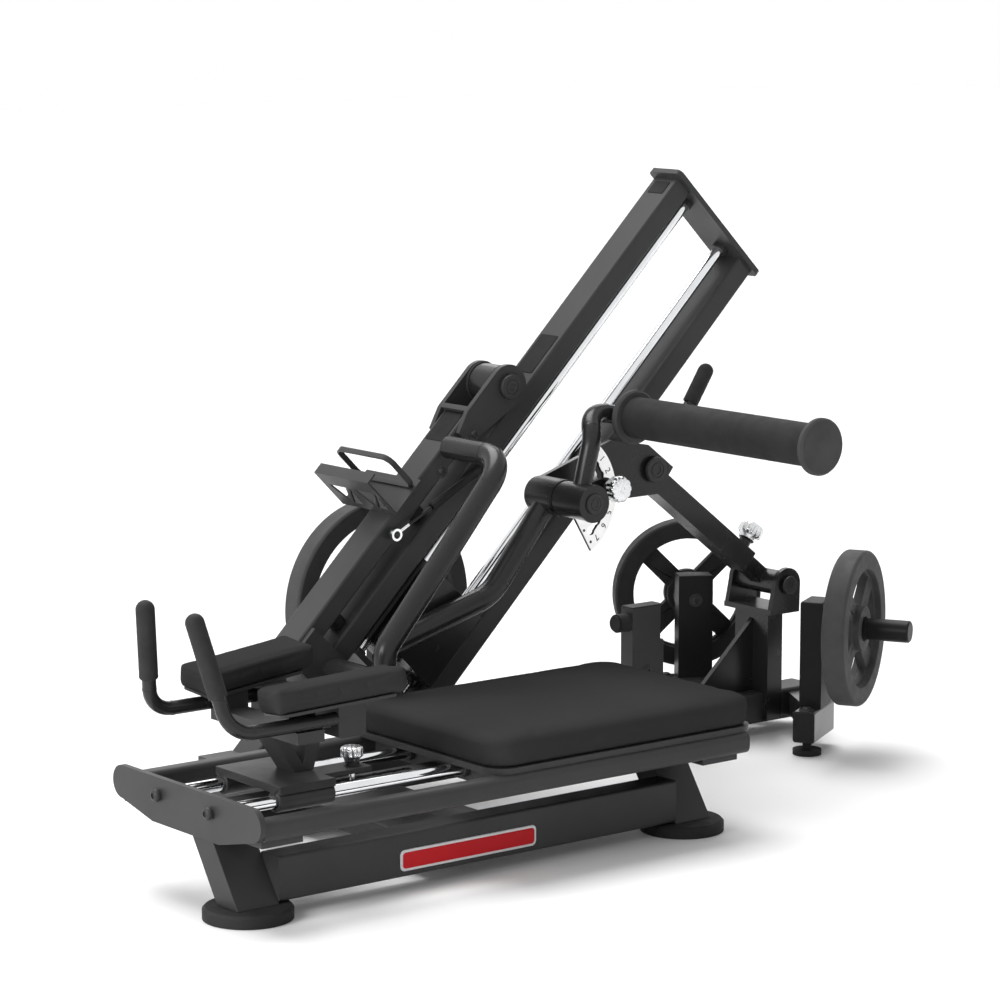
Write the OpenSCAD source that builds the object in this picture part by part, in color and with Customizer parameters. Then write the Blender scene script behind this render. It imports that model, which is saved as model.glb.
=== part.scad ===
// Hip thrust machine: a low bench beside an inclined tower.
// A plate-loaded sled runs up two rods between the tower's beams and carries the hip roller.
// X runs along the bench to the rear, Y across from the bench to the tower, Z up.
// The origin is the middle of the rear disc foot's underside.

/* [Tower] */
// Slope of the beams above the floor
incline = 45; // [40:1:50]
// Distance of the tower plane from the bench feet
tower_y = 570; // [540:5:640]
// Width of a beam across the tower
beam_w = 80; // [70:1:90]
// Depth of a beam
beam_t = 50; // [40:1:56]
// Edge radius of a beam
beam_r = 6; // [3:1:10]
// Height of the upper beam's underside, square to the slope
upper_n = 540; // [530:1:560]
// Height of the lower beam's underside, square to the slope
lower_n = 284; // [270:1:290]
// Place of the end plate along the slope
tower_top = 1210; // [1100:5:1300]
// Thickness of the end plate
cap_t = 12; // [8:1:16]
// Width of the end plate
cap_w = 100; // [94:1:120]
// Overhang of the end plate past the beams
cap_over = 14; // [4:1:24]
// Diameter of a guide rod
rod_d = 25; // [20:1:28]
// Distance from a beam's inner face to a guide rod's axis
rod_gap = 30; // [28:1:34]
// Place of the rods' lower seat along the slope
seat_s = -70; // [-100:1:-60]
// Thickness of the rods' lower seat
seat_t = 14; // [10:1:20]

/* [Base] */
// Height of the base tubes' underside
base_z = 30; // [24:1:40]
// Height of the base tubes
base_h = 70; // [60:1:80]
// Width of the base beam
base_w = 80; // [70:1:90]
// Rear end of the base beam
base_rear = 862; // [840:1:900]
// Middle of the front cross tube
front_x = -715; // [-730:1:-700]
// Width of the front cross tube
front_w = 100; // [90:1:110]
// Length of the front cross tube
front_len = 330; // [280:5:400]
// Height of the toe in front of the upper beam
toe_top = 150; // [130:1:180]
// Diameter of a levelling foot
foot_d = 64; // [50:1:80]
// Height of a levelling foot's pad
foot_h = 12; // [8:1:18]
// Diameter of a levelling foot's stem
stem_d = 20; // [12:1:24]

/* [Storage] */
// Splay of the storage legs
splay = 30; // [20:1:40]
// Front end of a storage leg
leg_x = 635; // [600:5:660]
// Distance of a storage leg's front end from the tower plane
leg_y = 249; // [230:1:280]
// Length of a storage leg
leg_len = 150; // [145:1:180]
// Width of a storage leg and its upright
leg_w = 50; // [40:1:60]
// Start of the upright along its leg
upright_start = 46; // [30:1:60]
// Depth of the upright along its leg
upright_d = 80; // [60:1:90]
// Top of the upright
upright_top = 335; // [310:1:380]
// Height of a storage horn's axis
horn_z = 280; // [270:1:300]
// Diameter of a horn
horn_d = 49; // [46:0.5:50]
// Length of a storage horn
horn_len = 190; // [175:1:220]
// Distance of a stored plate from its upright
plate_out = 35; // [10:1:45]

/* [Strut post] */
// Place of the strut's lower pivot along X
pivot_a_x = 741; // [730:1:750]
// Height of the strut's lower pivot
pivot_a_z = 349; // [340:1:370]
// Depth of the post along X
post_t = 44; // [36:1:56]
// Width of the post
post_w = 110; // [104:1:120]
// Underside of the post's cheeks
post_z = 36; // [32:1:60]
// Outer width of the clevis
clevis_w = 156; // [130:1:170]
// Thickness of the clevis plates
clevis_t = 12; // [8:1:16]
// Radius of the clevis ears
ear_r = 38; // [34:1:46]
// Drop from the pivot to the clevis web's underside
clevis_drop = 65; // [60:1:80]
// Diameter of the strut's pivot pins
strut_pin_d = 24; // [18:1:28]
// Length of the gusset in front of the post
gusset_len = 182; // [120:1:200]
// Thickness of the gusset
gusset_t = 12; // [8:1:20]
// Front face of the stop post
stop_x = 333; // [320:1:360]
// Top of the stop post
stop_top = 332; // [300:1:360]
// Size of the stop post along X
stop_l = 90; // [70:1:110]
// Size of the stop post across
stop_w = 40; // [30:1:60]
// Diameter of the stop's bumper
stop_d = 41; // [30:1:50]
// Length of the stop's bumper
stop_h = 35; // [20:1:45]

/* [Bench] */
// Distance of the bench's middle plane from its feet
bench_y = 118; // [100:1:140]
// Front face of the bench's end plate
bench_front = -1115; // [-1140:1:-1100]
// Rear end of the rails
bench_rear = 65; // [60:1:90]
// Distance between the rails' middles
rail_span = 452; // [430:1:480]
// Width of a rail
rail_w = 40; // [34:1:50]
// Height of a rail
rail_h = 42; // [38:1:46]
// Edge radius of a rail
rail_r = 14; // [8:1:16]
// Height of the rails' middle
rail_z = 192; // [190:1:200]
// Thickness of the end plate
end_t = 12; // [8:1:16]
// Height of the end plate's upper edge
end_top = 233; // [226:1:245]
// Depth of the end plate at its middle
end_deep = 88; // [80:1:100]
// Diameter of the bench's guide rods
slide_d = 25; // [20:1:28]
// Distance between the bench's guide rods
slide_span = 176; // [150:1:200]
// Height of the bench's guide rods
slide_z = 200; // [198:1:210]
// Front face of the cross plate under the seat
cross_x = -530; // [-545:1:-515]
// Size of a leg along X
bleg_l = 92; // [80:1:94]
// Size of a leg across
bleg_w = 70; // [60:1:80]
// Splay of a leg, top to foot
bleg_splay = 93; // [70:1:110]
// Thickness of the saddle plate over a leg
saddle_t = 12; // [8:1:16]
// Distance between the disc feet
disc_span = 1056; // [1040:1:1060]
// Diameter of a disc foot
disc_d = 170; // [140:1:190]
// Height of a disc foot
disc_h = 24; // [18:1:30]
// Height of the low rail
low_h = 86; // [70:1:92]
// Width of the low rail
low_w = 60; // [50:1:66]
// Distance of the low rail's middle from the feet's middle
low_y = -5; // [-5:1:5]
// Front edge of the cross member to the tower
member_x = -640; // [-650:1:-620]
// Width of the cross member to the tower
member_w = 225; // [180:1:240]
// Height of the cross member to the tower
member_h = 40; // [30:1:60]

/* [Seat] */
// Length of the seat
seat_l = 680; // [650:1:690]
// Rear end of the seat
seat_rear = 105; // [95:1:120]
// Width of the seat
seat_w = 484; // [440:1:488]
// Thickness of the seat board
board_t = 12; // [10:1:18]
// Height of the seat cushion
seat_h = 66; // [50:1:80]
// Corner radius of the seat
seat_corner = 52; // [30:1:80]
// Rise of a cushion's crown
crown = 9; // [4:1:14]
// Draw-in of a cushion's lower edge
draw_in = 7; // [3:1:12]

/* [Shoulder carriage] */
// Front end of the carriage on its rods
carriage_x = -975; // [-985:1:-965]
// Length of the carriage
carriage_l = 125; // [115:1:140]
// Outer diameter of the carriage's sleeves
sleeve_d = 42; // [38:1:44]
// Thickness of the carriage plate
carriage_t = 10; // [8:1:14]
// Reach of the carriage plate's tongue
tongue_l = 125; // [115:1:140]
// Width of the carriage plate's tongue
tongue_w = 60; // [50:1:80]
// Height of the pad frame above the carriage
v_h = 83; // [70:1:110]
// Depth of a flat tube of the V bracket
v_t = 28; // [20:1:32]
// Width of a flat tube of the V bracket
v_w = 60; // [50:1:80]
// Height of the pad frame's cross tubes
yoke_h = 61; // [50:1:70]
// Length of the pad frame's cross tubes
yoke_len = 290; // [270:1:320]
// Tilt of the shoulder pads towards each other
pad_tilt = 7; // [4:1:10]
// Distance of a shoulder pad's middle from the bench's middle
pad_y = 144; // [140:1:150]
// Length of a shoulder pad
pad_l = 282; // [270:1:300]
// Width of a shoulder pad
pad_w = 95; // [90:1:105]
// Height of a shoulder pad
pad_h = 50; // [44:1:60]
// Turn of a shoulder pad away from the bench's middle
pad_yaw = 8; // [0:1:9]
// Rise of a shoulder pad towards the seat
pad_pitch = 4; // [0:1:5]
// Diameter of a handle tube
handle_d = 27; // [22:1:30]
// Bend radius of a handle tube
handle_bend = 57; // [45:1:59]
// Length of a grip
grip_l = 160; // [130:1:180]
// Diameter of a grip
grip_d = 36; // [32:1:42]
// Distance of a handle from the bench's middle
handle_y = 132; // [120:1:140]

/* [Sled] */
// Length of the sled on its rods
sled_l = 210; // [190:1:230]
// Outer diameter of the sled's bearings
bearing_d = 44; // [40:1:50]
// Thickness of a sled side plate
side_t = 12; // [8:1:16]
// Width of the sled block across the tower
block_w = 98; // [92:1:110]
// Place of the sled's horn along the sled
sled_horn_s = 130; // [100:1:150]
// Length of the sled's horn
sled_horn_len = 300; // [260:1:320]
// Length of the collar behind the sled's plate
sled_collar = 68; // [10:1:80]
// Height of the rubber bumper under the sled
bumper_h = 36; // [24:1:45]
// Diameter of the thrust arm's tube
thrust_d = 50; // [44:1:54]
// Place of the roller arm's pivot along the slope
hub_s = 472; // [450:1:500]
// Place of the roller arm's pivot square to the slope
hub_n = 404; // [390:1:420]
// Diameter of the roller arm's hub
hub_d = 80; // [70:1:90]
// Length of the thrust arm's hub
hub_len = 72; // [60:1:84]
// Diameter of the hub's pin
hub_pin_d = 30; // [24:1:34]
// Thickness of the dial and of the strut lug
lug_t = 12; // [8:1:14]
// Thickness of the dial
dial_t = 8; // [6:1:10]
// Outer radius of the dial
dial_r = 140; // [132:1:144]
// Radius of the dial's row of seats
seat_row_r = 104; // [96:1:110]
// Angle between two seats of the dial
dial_step = 14; // [12:1:15]
// Number of seats on the dial
dial_count = 7; // [5:1:8]

/* [Roller] */
// Place of the roller's axis along X
roller_x = 210; // [190:1:230]
// Height of the roller's axis
roller_z = 782; // [760:1:800]
// Diameter of the roller's foam
roller_d = 88; // [80:1:100]
// Diameter of the roller's end caps
flange_d = 116; // [108:1:130]
// Length of the roller over its caps
roller_len = 588; // [540:1:640]
// Thickness of a roller cap
flange_t = 16; // [10:1:24]
// Diameter of the roller's axle
axle_d = 28; // [22:1:32]
// Diameter of the roller arm's tube
arm_tube_d = 40; // [30:1:42]
// Length of the roller arm's hub
roller_hub_len = 90; // [80:1:100]
// Length of the lifting grip
lift_len = 95; // [80:1:120]

/* [Strut] */
// Place of the strut's upper pivot along X
pivot_b_x = 360; // [350:1:370]
// Height of the strut's upper pivot
pivot_b_z = 644; // [636:1:650]
// Side of the strut's outer tube
outer_w = 50; // [46:1:56]
// Width of the strut's head
head_w = 80; // [70:1:82]
// Height of the strut's head
head_h = 66; // [56:1:72]
// Length of the strut's head past its pivot
head_l = 40; // [30:1:50]
// Wall of the strut's tubes
strut_wall = 3.5; // [2.5:0.5:4]
// Length of the outer tube from its pivot
outer_len = 400; // [380:1:405]
// Length of the inner tube from its pivot
inner_len = 425; // [400:1:435]
// Play between the strut's tubes on each side
strut_play = 3.5; // [3:0.5:4.5]
// Diameter of a locking pin
pin_d = 12; // [9:1:14]
// Diameter of a locking pin's knob
knob_d = 58; // [40:1:62]
// Height of a locking pin's knob
knob_h = 38; // [18:1:40]

/* [Release arm] */
// Gap between the upper beam and the release arm
arm_gap = 34; // [30:1:44]
// Depth of the release arm
arm_t = 45; // [40:1:50]
// Lower end of the release arm along the slope
arm_s0 = -185; // [-200:1:-160]
// Upper end of the release arm along the slope
arm_s1 = 482; // [470:1:490]
// Place of the release arm's pivot along the slope
pivot_s = 578; // [570:1:600]
// Diameter of the pivot's housing
housing_d = 84; // [78:1:90]
// Thickness of a clevis cheek
cheek_t = 12; // [8:1:16]
// Diameter of the bent handle's tube
bar_d = 48; // [36:1:50]
// Reach of the bent handle away from the tower plane
bar_y = 233; // [200:1:260]
// Thickness of the holder's sheet
sheet_t = 4; // [3:0.5:6]
// Width of the holder
holder_w = 190; // [170:1:210]
// Depth of the holder's floor above the arm
holder_deep = 104; // [96:1:120]
// Depth of the holder's strap loop
strap_deep = 98; // [86:1:110]
// Thickness of the holder's strap
strap_t = 5; // [4:0.5:7]
// Height of the holder's strap
strap_h = 12; // [8:1:18]

/* [Gas spring] */
// Place of the spring's upper stud along the slope
gas_b_s = 409; // [400:1:420]
// Place of the spring's lower stud along the slope
gas_a_s = 166; // [150:1:175]
// Diameter of the spring's barrel
barrel_d = 18; // [15:1:22]
// Length of the spring's barrel
barrel_len = 150; // [140:1:160]
// Diameter of the spring's rod
gas_rod_d = 8; // [6:1:10]
// Diameter of the spring's studs
stud_d = 10; // [8:1:12]

/* [Weight plates] */
// Diameter of a stored plate
plate_d = 346; // [300:1:360]
// Diameter of the plate on the sled
big_plate_d = 450; // [400:1:460]
// Thickness of a plate
plate_t = 52; // [40:1:60]
// Width of a plate's rim
rim_w = 42; // [30:1:50]
// Width of a plate's spokes
spoke_w = 46; // [36:1:56]
// Diameter of a plate's hub
plate_hub_d = 100; // [86:1:120]

/* [Clearances] */
// Running gap of a pin, a shaft or a sliding sleeve
run = 0.3; // [0.2:0.05:0.5]
// Gap between parts that rest on each other
rest = 0.3; // [0.2:0.1:0.5]
// Gap between a moving plate and a beam's side
side_gap = 2; // [1.5:0.5:4]
// Size of the weld bead where a tube's bend begins
bead = 1; // [0.8:0.1:1.4]

/* [Hidden] */
$fn = 48;
base_top = base_z + base_h;
beam_top = upper_n + beam_t;
rod_upper_n = upper_n - rod_gap;
rod_lower_n = lower_n + beam_t + rod_gap;
rod_mid_n = (rod_upper_n + rod_lower_n) / 2;
sled_s = seat_s + seat_t + bumper_h + rest;
side_y = block_w / 2 + side_t;
toe_x = front_x - front_w / 2;
clevis_web_z = pivot_a_z - clevis_drop;
post_x = pivot_a_x - 38;
ear_front = post_x - 14;
ear_l = 88;
clevis_in = clevis_w / 2 - clevis_t;
rail_top = rail_z + rail_h / 2;
saddle_z = rail_z - rail_h / 2 - saddle_t;
board_z = rail_top;
pad_z = board_z + board_t + rest;
seat_x = seat_rear - seat_l;
low_z = disc_h + 4;
member_z = low_z + 10;
sleeve_top = slide_z + sleeve_d / 2;
yoke_z = sleeve_top + carriage_t + v_h;
yoke_top = yoke_z + yoke_h;
v_x = carriage_x + 115;
yoke_rear_x = v_x - 8;
yoke_rear_l = 62;
yoke_front_x = v_x - 100;
yoke_front_l = 60;
pad_in = pad_y - pad_w / 2 + 10;
handle_z = yoke_z + 36;
grip_low = [carriage_x - 140, 0, handle_z + 70];
grip_lean = [-30, -38, 155];
pin_x = v_x + tongue_l;
tongue_z = sleeve_top - 12;
pad_x = (yoke_front_x + yoke_rear_x + yoke_rear_l) / 2 + 6;
carriage_end = v_x + tongue_l + 25;
hub_far_y = -(beam_w / 2 + side_gap + lug_t);
dial_y = hub_far_y - hub_len;
roller_hub_y = dial_y - dial_t - 2 * rest;
thrust_y = -(side_y + thrust_d / 2 - side_gap);
roller_far_y = -157;
axle_far_y = -120;
axle_mid_y = -132;
arm_n = beam_top + arm_gap;
arm_top = arm_n + arm_t;
pivot_n = beam_top + housing_d / 2;
cheek_y = beam_w / 2;
bar_n = arm_n + arm_t / 2;
bar_low_n = bar_n - 30;
bar_drop = 66;
bar_foot_n = bar_low_n - bar_drop * cos(incline);
gas_y = -(beam_w / 2 + 14);
gas_b_n = upper_n + beam_t / 2;
gas_a_n = arm_n + 18;
strut_dir = unit([pivot_b_x - pivot_a_x, 0, pivot_b_z - pivot_a_z]);
strut_len = norm([pivot_b_x - pivot_a_x, pivot_b_z - pivot_a_z]);
strut_tilt = atan2(strut_dir.z, strut_dir.x);
inner_w = outer_w - 2 * strut_wall - 2 * strut_play;
lock_at = 375;
dial_top_angle = 37;
dial_now = 3;
rubber = "#1b1b1b";
steel = "#2b2c2e";
chrome = "#c9ccd0";

// Unit vector along v
function unit(v) = v / norm(v);
// Point of the slope's own coordinates in X and Z
function slope_x(s, n) = s * cos(incline) - n * sin(incline);
function slope_z(s, n) = s * sin(incline) + n * cos(incline);
// Place along the slope where a line at height n meets height z
function slope_s(n, z) = (z - n * cos(incline)) / sin(incline);
// X of a line at height n where it meets height z
function line_x(n, z) = slope_x(slope_s(n, z), n);

hub_x = slope_x(hub_s, hub_n);
hub_z = slope_z(hub_s, hub_n);

// Coordinates of the tower plane
module tower() translate([0, tower_y, 0]) children();
// Coordinates of the slope: X up the beams, Z square to them
module slope() tower() rotate([0, -incline, 0]) children();
// Coordinates of one storage leg, its X along the leg and its -Y out along the horn
module storage(far) {
    if (far) tower() mirror([0, 1, 0]) translate([leg_x, -leg_y, 0]) rotate([0, 0, splay]) children();
    else tower() translate([leg_x, -leg_y, 0]) rotate([0, 0, splay]) children();
}
// Coordinates of the bench's middle plane
module bench() translate([0, bench_y, 0]) children();

// Rectangle with round corners
module round_rect(w, h, r) {
    square([w - 2 * r, h], center = true);
    square([w, h - 2 * r], center = true);
    for (x = [-1, 1], y = [-1, 1]) translate([x * (w / 2 - r), y * (h / 2 - r)]) circle(r);
}

// Bar along X with round edges
module bar(l, w, h, r) rotate([90, 0, 90]) linear_extrude(l) round_rect(w, h, r);

// Outline in X and Z as a plate of thickness t, from y towards -Y
module plate_xz(y, t) translate([0, y, 0]) rotate([90, 0, 0]) linear_extrude(t) children();

// Cylinder along Y, from y0 to y1
module pin_y(x, z, y0, y1, d) translate([x, max(y0, y1), z]) rotate([90, 0, 0])
    cylinder(d = d, h = abs(y1 - y0));

// Child turned so that its Z runs from p towards q
module aim(p, q) {
    d = q - p;
    translate(p) rotate([0, acos(d.z / norm(d)), atan2(d.y, d.x)]) children();
}

// Round bar through the points, with a radius for all bends or one for each, and a thin weld bead at their ends
module bent_bar(points, d, bend) {
    last = len(points) - 1;
    dirs = [for (i = [0 : last - 1]) unit(points[i + 1] - points[i])];
    turns = [for (i = [1 : last - 1]) acos(dirs[i - 1] * dirs[i])];
    radii = [for (i = [0 : last]) is_list(bend) ? bend[i] : bend];
    cuts = [0, for (i = [1 : last - 1]) radii[i] * tan(turns[i - 1] / 2), 0];
    for (i = [0 : last - 1]) {
        a = points[i] + dirs[i] * (i > 0 ? cuts[i] + bead : 0);
        b = points[i + 1] - dirs[i] * (i < last - 1 ? cuts[i + 1] + bead : 0);
        aim(a, b) cylinder(d = d, h = norm(b - a));
    }
    for (i = [1 : last - 1]) {
        start = points[i] - dirs[i - 1] * cuts[i];
        end = points[i] + dirs[i] * cuts[i];
        aim(start - 2 * bead * dirs[i - 1], start) cylinder(d = d + bead, h = 4 * bead);
        aim(end - 2 * bead * dirs[i], end) cylinder(d = d + bead, h = 4 * bead);
        mid = points[i] + unit(dirs[i] - dirs[i - 1]) * radii[i] / cos(turns[i - 1] / 2);
        ex = unit(start - mid);
        ey = dirs[i - 1];
        ez = cross(ex, ey);
        level = abs(ex.z) < 0.99999;
        roll = level ? atan2(ey.z, ez.z) : atan2(-sign(ex.z) * ey.x, ey.y);
        translate(mid) rotate([roll, -asin(max(-1, min(1, ex.z))), level ? atan2(ex.y, ex.x) : 0])
            rotate_extrude(angle = turns[i - 1]) translate([radii[i], 0]) circle(d = d);
    }
}

// Ring of a cushion: a round rectangle at height z, as points
function ring(l, w, r, z, k = 8) = [for (c = [0 : 3], j = [0 : k])
    let (a = c * 90 + j * 90 / k, sx = (c == 0 || c == 3) ? 1 : -1, sy = c < 2 ? 1 : -1)
    [sx * (l / 2 - r) + r * cos(a), sy * (w / 2 - r) + r * sin(a), z]];

// Cushion with its underside at z 0: drawn-in lower edge, full sides and a crowned top
module cushion(l, w, h, corner) {
    soft = 16;
    levels = concat(
        [ring(l - 2 * draw_in, w - 2 * draw_in, corner - draw_in, 0),
         ring(l - draw_in, w - draw_in, corner - draw_in / 2, h * 0.16),
         ring(l, w, corner, h * 0.42)],
        [for (i = [0 : 4]) let (a = i * 22.5, inset = soft * (1 - cos(a)))
            ring(l - 2 * inset, w - 2 * inset, corner - inset, h - crown - soft + soft * sin(a))],
        [for (i = [1 : 5]) let (f = 1 - i / 6, inset = soft)
            ring((l - 2 * inset) * f, (w - 2 * inset) * f, (corner - inset) * f, h - crown * f * f)]);
    count = len(levels[0]);
    points = concat([for (level = levels) each level], [[0, 0, 0], [0, 0, h]]);
    low = len(levels) * count;
    faces = concat(
        [for (i = [0 : len(levels) - 2], j = [0 : count - 1])
            let (a = i * count + j, b = i * count + (j + 1) % count)
            each [[a, a + count, b], [b, a + count, b + count]]],
        [for (j = [0 : count - 1]) [low, j, (j + 1) % count]],
        [for (j = [0 : count - 1]) let (t = (len(levels) - 1) * count) [low + 1, t + (j + 1) % count,
            t + j]]);
    polyhedron(points, faces);
}

// Levelling foot under a base tube
module level_foot() {
    cylinder(d = foot_d, h = foot_h);
    translate([0, 0, foot_h]) cylinder(d = stem_d, h = base_z - foot_h);
}

// Weight plate along Z from 0: raised rim and hub, thin web, four windows
module weight_plate(d) {
    web = plate_t * 0.4;
    bore = horn_d / 2 + 2;
    rim_in = d / 2 - rim_w;
    lip = 5;
    difference() {
        rotate_extrude() polygon([[bore, 0], [plate_hub_d / 2, 0], [plate_hub_d / 2, (plate_t - web) / 2],
            [rim_in, (plate_t - web) / 2], [rim_in, 0], [d / 2 - lip, 0], [d / 2, lip],
            [d / 2, plate_t - lip], [d / 2 - lip, plate_t], [rim_in, plate_t],
                [rim_in, (plate_t + web) / 2],
            [plate_hub_d / 2, (plate_t + web) / 2], [plate_hub_d / 2, plate_t], [bore, plate_t]]);
        translate([0, 0, -1]) linear_extrude(plate_t + 2) difference() {
            circle(rim_in - 4);
            circle(plate_hub_d / 2 + 4);
            for (a = [45, 135]) rotate(a) square([d, spoke_w], center = true);
        }
    }
}

// Locking pin along Z: nose below 0, knob from the height of its housing
module lock_pin(nose, housing, share = 1) {
    d = knob_d * share;
    h = knob_h * share;
    translate([0, 0, -nose]) cylinder(d = pin_d, h = nose + housing + rest);
    translate([0, 0, housing + rest]) cylinder(d1 = d * 0.72, d2 = d, h = h * 0.35);
    translate([0, 0, housing + rest + h * 0.35]) cylinder(d = d, h = h * 0.65);
}

// Housing of a locking pin along Z
module lock_housing(h) cylinder(d = pin_d + 16, h = h);

module base_beam() color(steel) tower()
    translate([front_x + front_w / 2, 0, base_z + base_h / 2])
        bar(base_rear - front_x - front_w / 2, base_w, base_h, beam_r);

module front_cross() color(steel) tower() {
    translate([front_x, -front_len / 2, base_z + base_h / 2]) rotate([0, 0, 90])
        bar(front_len, front_w, base_h, beam_r);
    plate_xz(beam_w / 2, beam_w) polygon([[toe_x, base_top - beam_r], [toe_x, toe_top],
        [line_x(beam_top, toe_top), toe_top], [line_x(beam_top, base_top), base_top],
        [line_x(beam_top, base_top), base_top - beam_r]]);
}

module front_feet() color(rubber) tower() for (y = [-1, 1])
    translate([front_x + 15, y * (front_len / 2 - foot_d / 2), 0]) level_foot();

module rear_feet() color(rubber) for (far = [false, true])
    storage(far) translate([foot_d / 2 - 4, 0, 0]) level_foot();

// One storage leg with its link to the base beam
module rear_leg(far) color(steel) {
    storage(far) translate([0, 0, base_z + base_h / 2]) bar(leg_len, leg_w, base_h, beam_r);
    link = leg_len - upright_start;
    v = leg_w / 2 - 8;
    start = [for (u = [leg_len - 70, leg_len - 1]) [leg_x + u * cos(splay) - v * sin(splay),
        -leg_y + u * sin(splay) + v * cos(splay)]];
    tower() mirror([0, far ? 1 : 0, 0]) translate([0, 0, base_z + 9]) linear_extrude(base_h - 18)
        polygon([start[0], start[1], [base_rear, -base_w / 2], [base_rear - link * 0.77, -base_w / 2]]);
}
module rear_leg_near() rear_leg(false);
module rear_leg_far() rear_leg(true);

// One storage upright with its horn
module upright(far) color(steel) storage(far) {
    translate([upright_start, -leg_w / 2, base_top]) cube([upright_d, leg_w, upright_top - base_top]);
    translate([upright_start + upright_d / 2, -leg_w / 2, horn_z]) rotate([90, 0, 0]) {
        cylinder(d = horn_d + 30, h = plate_out);
        cylinder(d = horn_d, h = plate_out + plate_t + 8);
        translate([0, 0, plate_out + plate_t + 8]) cylinder(d = horn_d - 2, h = 3);
        translate([0, 0, plate_out + plate_t + 11])
            cylinder(d = horn_d, h = horn_len - plate_out - plate_t - 14);
        translate([0, 0, horn_len - 3]) cylinder(d1 = horn_d, d2 = horn_d - 6, h = 3);
    }
}
module upright_near() upright(false);
module upright_far() upright(true);

// Post with its clevis, pivot pin and gusset
module strut_post() color(steel) tower() {
    difference() {
        translate([post_x, -post_w / 2, post_z]) cube([post_t, post_w, clevis_web_z - post_z]);
        translate([post_x - 1, -base_w / 2, 0]) cube([post_t + 2, base_w, base_top]);
    }
    translate([ear_front, -clevis_w / 2, clevis_web_z]) cube([ear_l, clevis_w, clevis_t]);
    for (y = [clevis_w / 2, -clevis_in]) plate_xz(y, clevis_t) {
        translate([pivot_a_x, pivot_a_z]) circle(ear_r);
        polygon([[ear_front, clevis_web_z], [ear_front + ear_l, clevis_web_z],
            [pivot_a_x + ear_r, pivot_a_z],
            [pivot_a_x - ear_r, pivot_a_z]]);
    }
    pin_y(pivot_a_x, pivot_a_z, -clevis_w / 2 - 6, clevis_w / 2 + 6, strut_pin_d);
    plate_xz(gusset_t / 2, gusset_t) polygon([[post_x, base_top], [post_x, clevis_web_z - 17],
        [post_x - gusset_len, base_top]]);
}

module stop_post() color(steel) tower() {
    step = 255;
    translate([stop_x, -stop_w / 2, base_top]) cube([stop_l, stop_w, step - base_top]);
    translate([stop_x, -stop_w / 2, step]) cube([stop_l - 9, stop_w, stop_top - step]);
}

// Buffers of the stop post, the sled and the release arm
module rubber_bumpers() color(rubber) {
    tower() translate([stop_x - stop_h, 0, stop_top - 32]) rotate([0, 90, 0]) {
        cylinder(d = stop_d - 6, h = 4);
        translate([0, 0, 4]) cylinder(d = stop_d, h = stop_h - 4);
    }
    slope() translate([seat_s + seat_t, 0, rod_mid_n]) rotate([0, 90, 0]) cylinder(d = 50, h = bumper_h);
    slope() for (s = [-40, 250]) translate([s, 0, beam_top]) cylinder(d = 36, h = arm_gap - rest);
}

// Beam whose underside lies at height n, cut level on the base
module slope_beam(n) {
    start = slope_s(n + beam_t, base_top) - 1;
    difference() {
        slope() translate([start, 0, n + beam_t / 2]) bar(tower_top - start, beam_w, beam_t, beam_r);
        tower() translate([line_x(n + beam_t, base_top) - 50, -beam_w, base_top - 200])
            cube([300, 2 * beam_w, 200]);
    }
}
module upper_beam() color(steel) {
    slope_beam(upper_n);
    slope() pin_y(gas_b_s, gas_b_n, -beam_w / 2, gas_y - 8, stud_d);
}
module lower_beam() color(steel) slope_beam(lower_n);

module tower_cap() color(steel) slope()
    translate([tower_top, 0, (lower_n + beam_top) / 2])
        bar(cap_t, cap_w, beam_top - lower_n + 2 * cap_over, 12);

module tower_rods() color(chrome) slope() for (n = [rod_upper_n, rod_lower_n])
    translate([seat_s + seat_t, 0, n]) rotate([0, 90, 0])
        cylinder(d = rod_d, h = tower_top - seat_s - seat_t);

module rod_seat() color(steel) slope()
    translate([seat_s, -beam_w / 2, lower_n + beam_t]) cube([seat_t, beam_w, upper_n - lower_n - beam_t]);

// Housing of the release arm's pivot on the upper beam, with its pin and end caps
module pivot_housing() color(steel) slope() {
    translate([pivot_s - 32, -beam_w / 2 + 8, beam_top]) cube([64, beam_w - 16, housing_d / 2]);
    pin_y(pivot_s, pivot_n, -cheek_y + rest, cheek_y - rest, housing_d);
    pin_y(pivot_s, pivot_n, -cheek_y - cheek_t - rest, cheek_y + cheek_t + rest, 24);
    for (y = [-1, 1]) pin_y(pivot_s, pivot_n, y * (cheek_y + cheek_t + rest),
        y * (cheek_y + cheek_t + rest + 6), 54);
}

// Outline of the bench's end plate in Y and Z
module end_outline() {
    half = rail_span / 2 + 24;
    tip_r = rail_h / 2 + 11;
    tip_z = end_top - tip_r;
    for (y = [-1, 1]) translate([y * (half - tip_r), tip_z]) circle(tip_r);
    polygon([[-half + tip_r, end_top], [-half + tip_r, tip_z - tip_r], [-half * 0.45, end_top - end_deep],
        [half * 0.45, end_top - end_deep], [half - tip_r, tip_z - tip_r], [half - tip_r, end_top]]);
}

module bench_end_plate() color(steel) bench() translate([bench_front, 0, 0]) {
    rotate([90, 0, 90]) linear_extrude(end_t) end_outline();
    for (y = [-1, 1]) translate([-6, y * slide_span / 2, slide_z]) rotate([0, 90, 0])
        cylinder(d = 22, h = 6);
}

// One side rail of the bench
module rail(y) color(steel) bench() translate([bench_front + end_t, y * rail_span / 2, rail_z])
    bar(bench_rear - bench_front - end_t, rail_w, rail_h, rail_r);
module rail_near() rail(-1);
module rail_far() rail(1);

module bench_rods() color(chrome) bench() for (y = [-1, 1])
    translate([bench_front + end_t, y * slide_span / 2, slide_z]) rotate([0, 90, 0])
        cylinder(d = slide_d, h = cross_x - bench_front - end_t);

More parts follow.
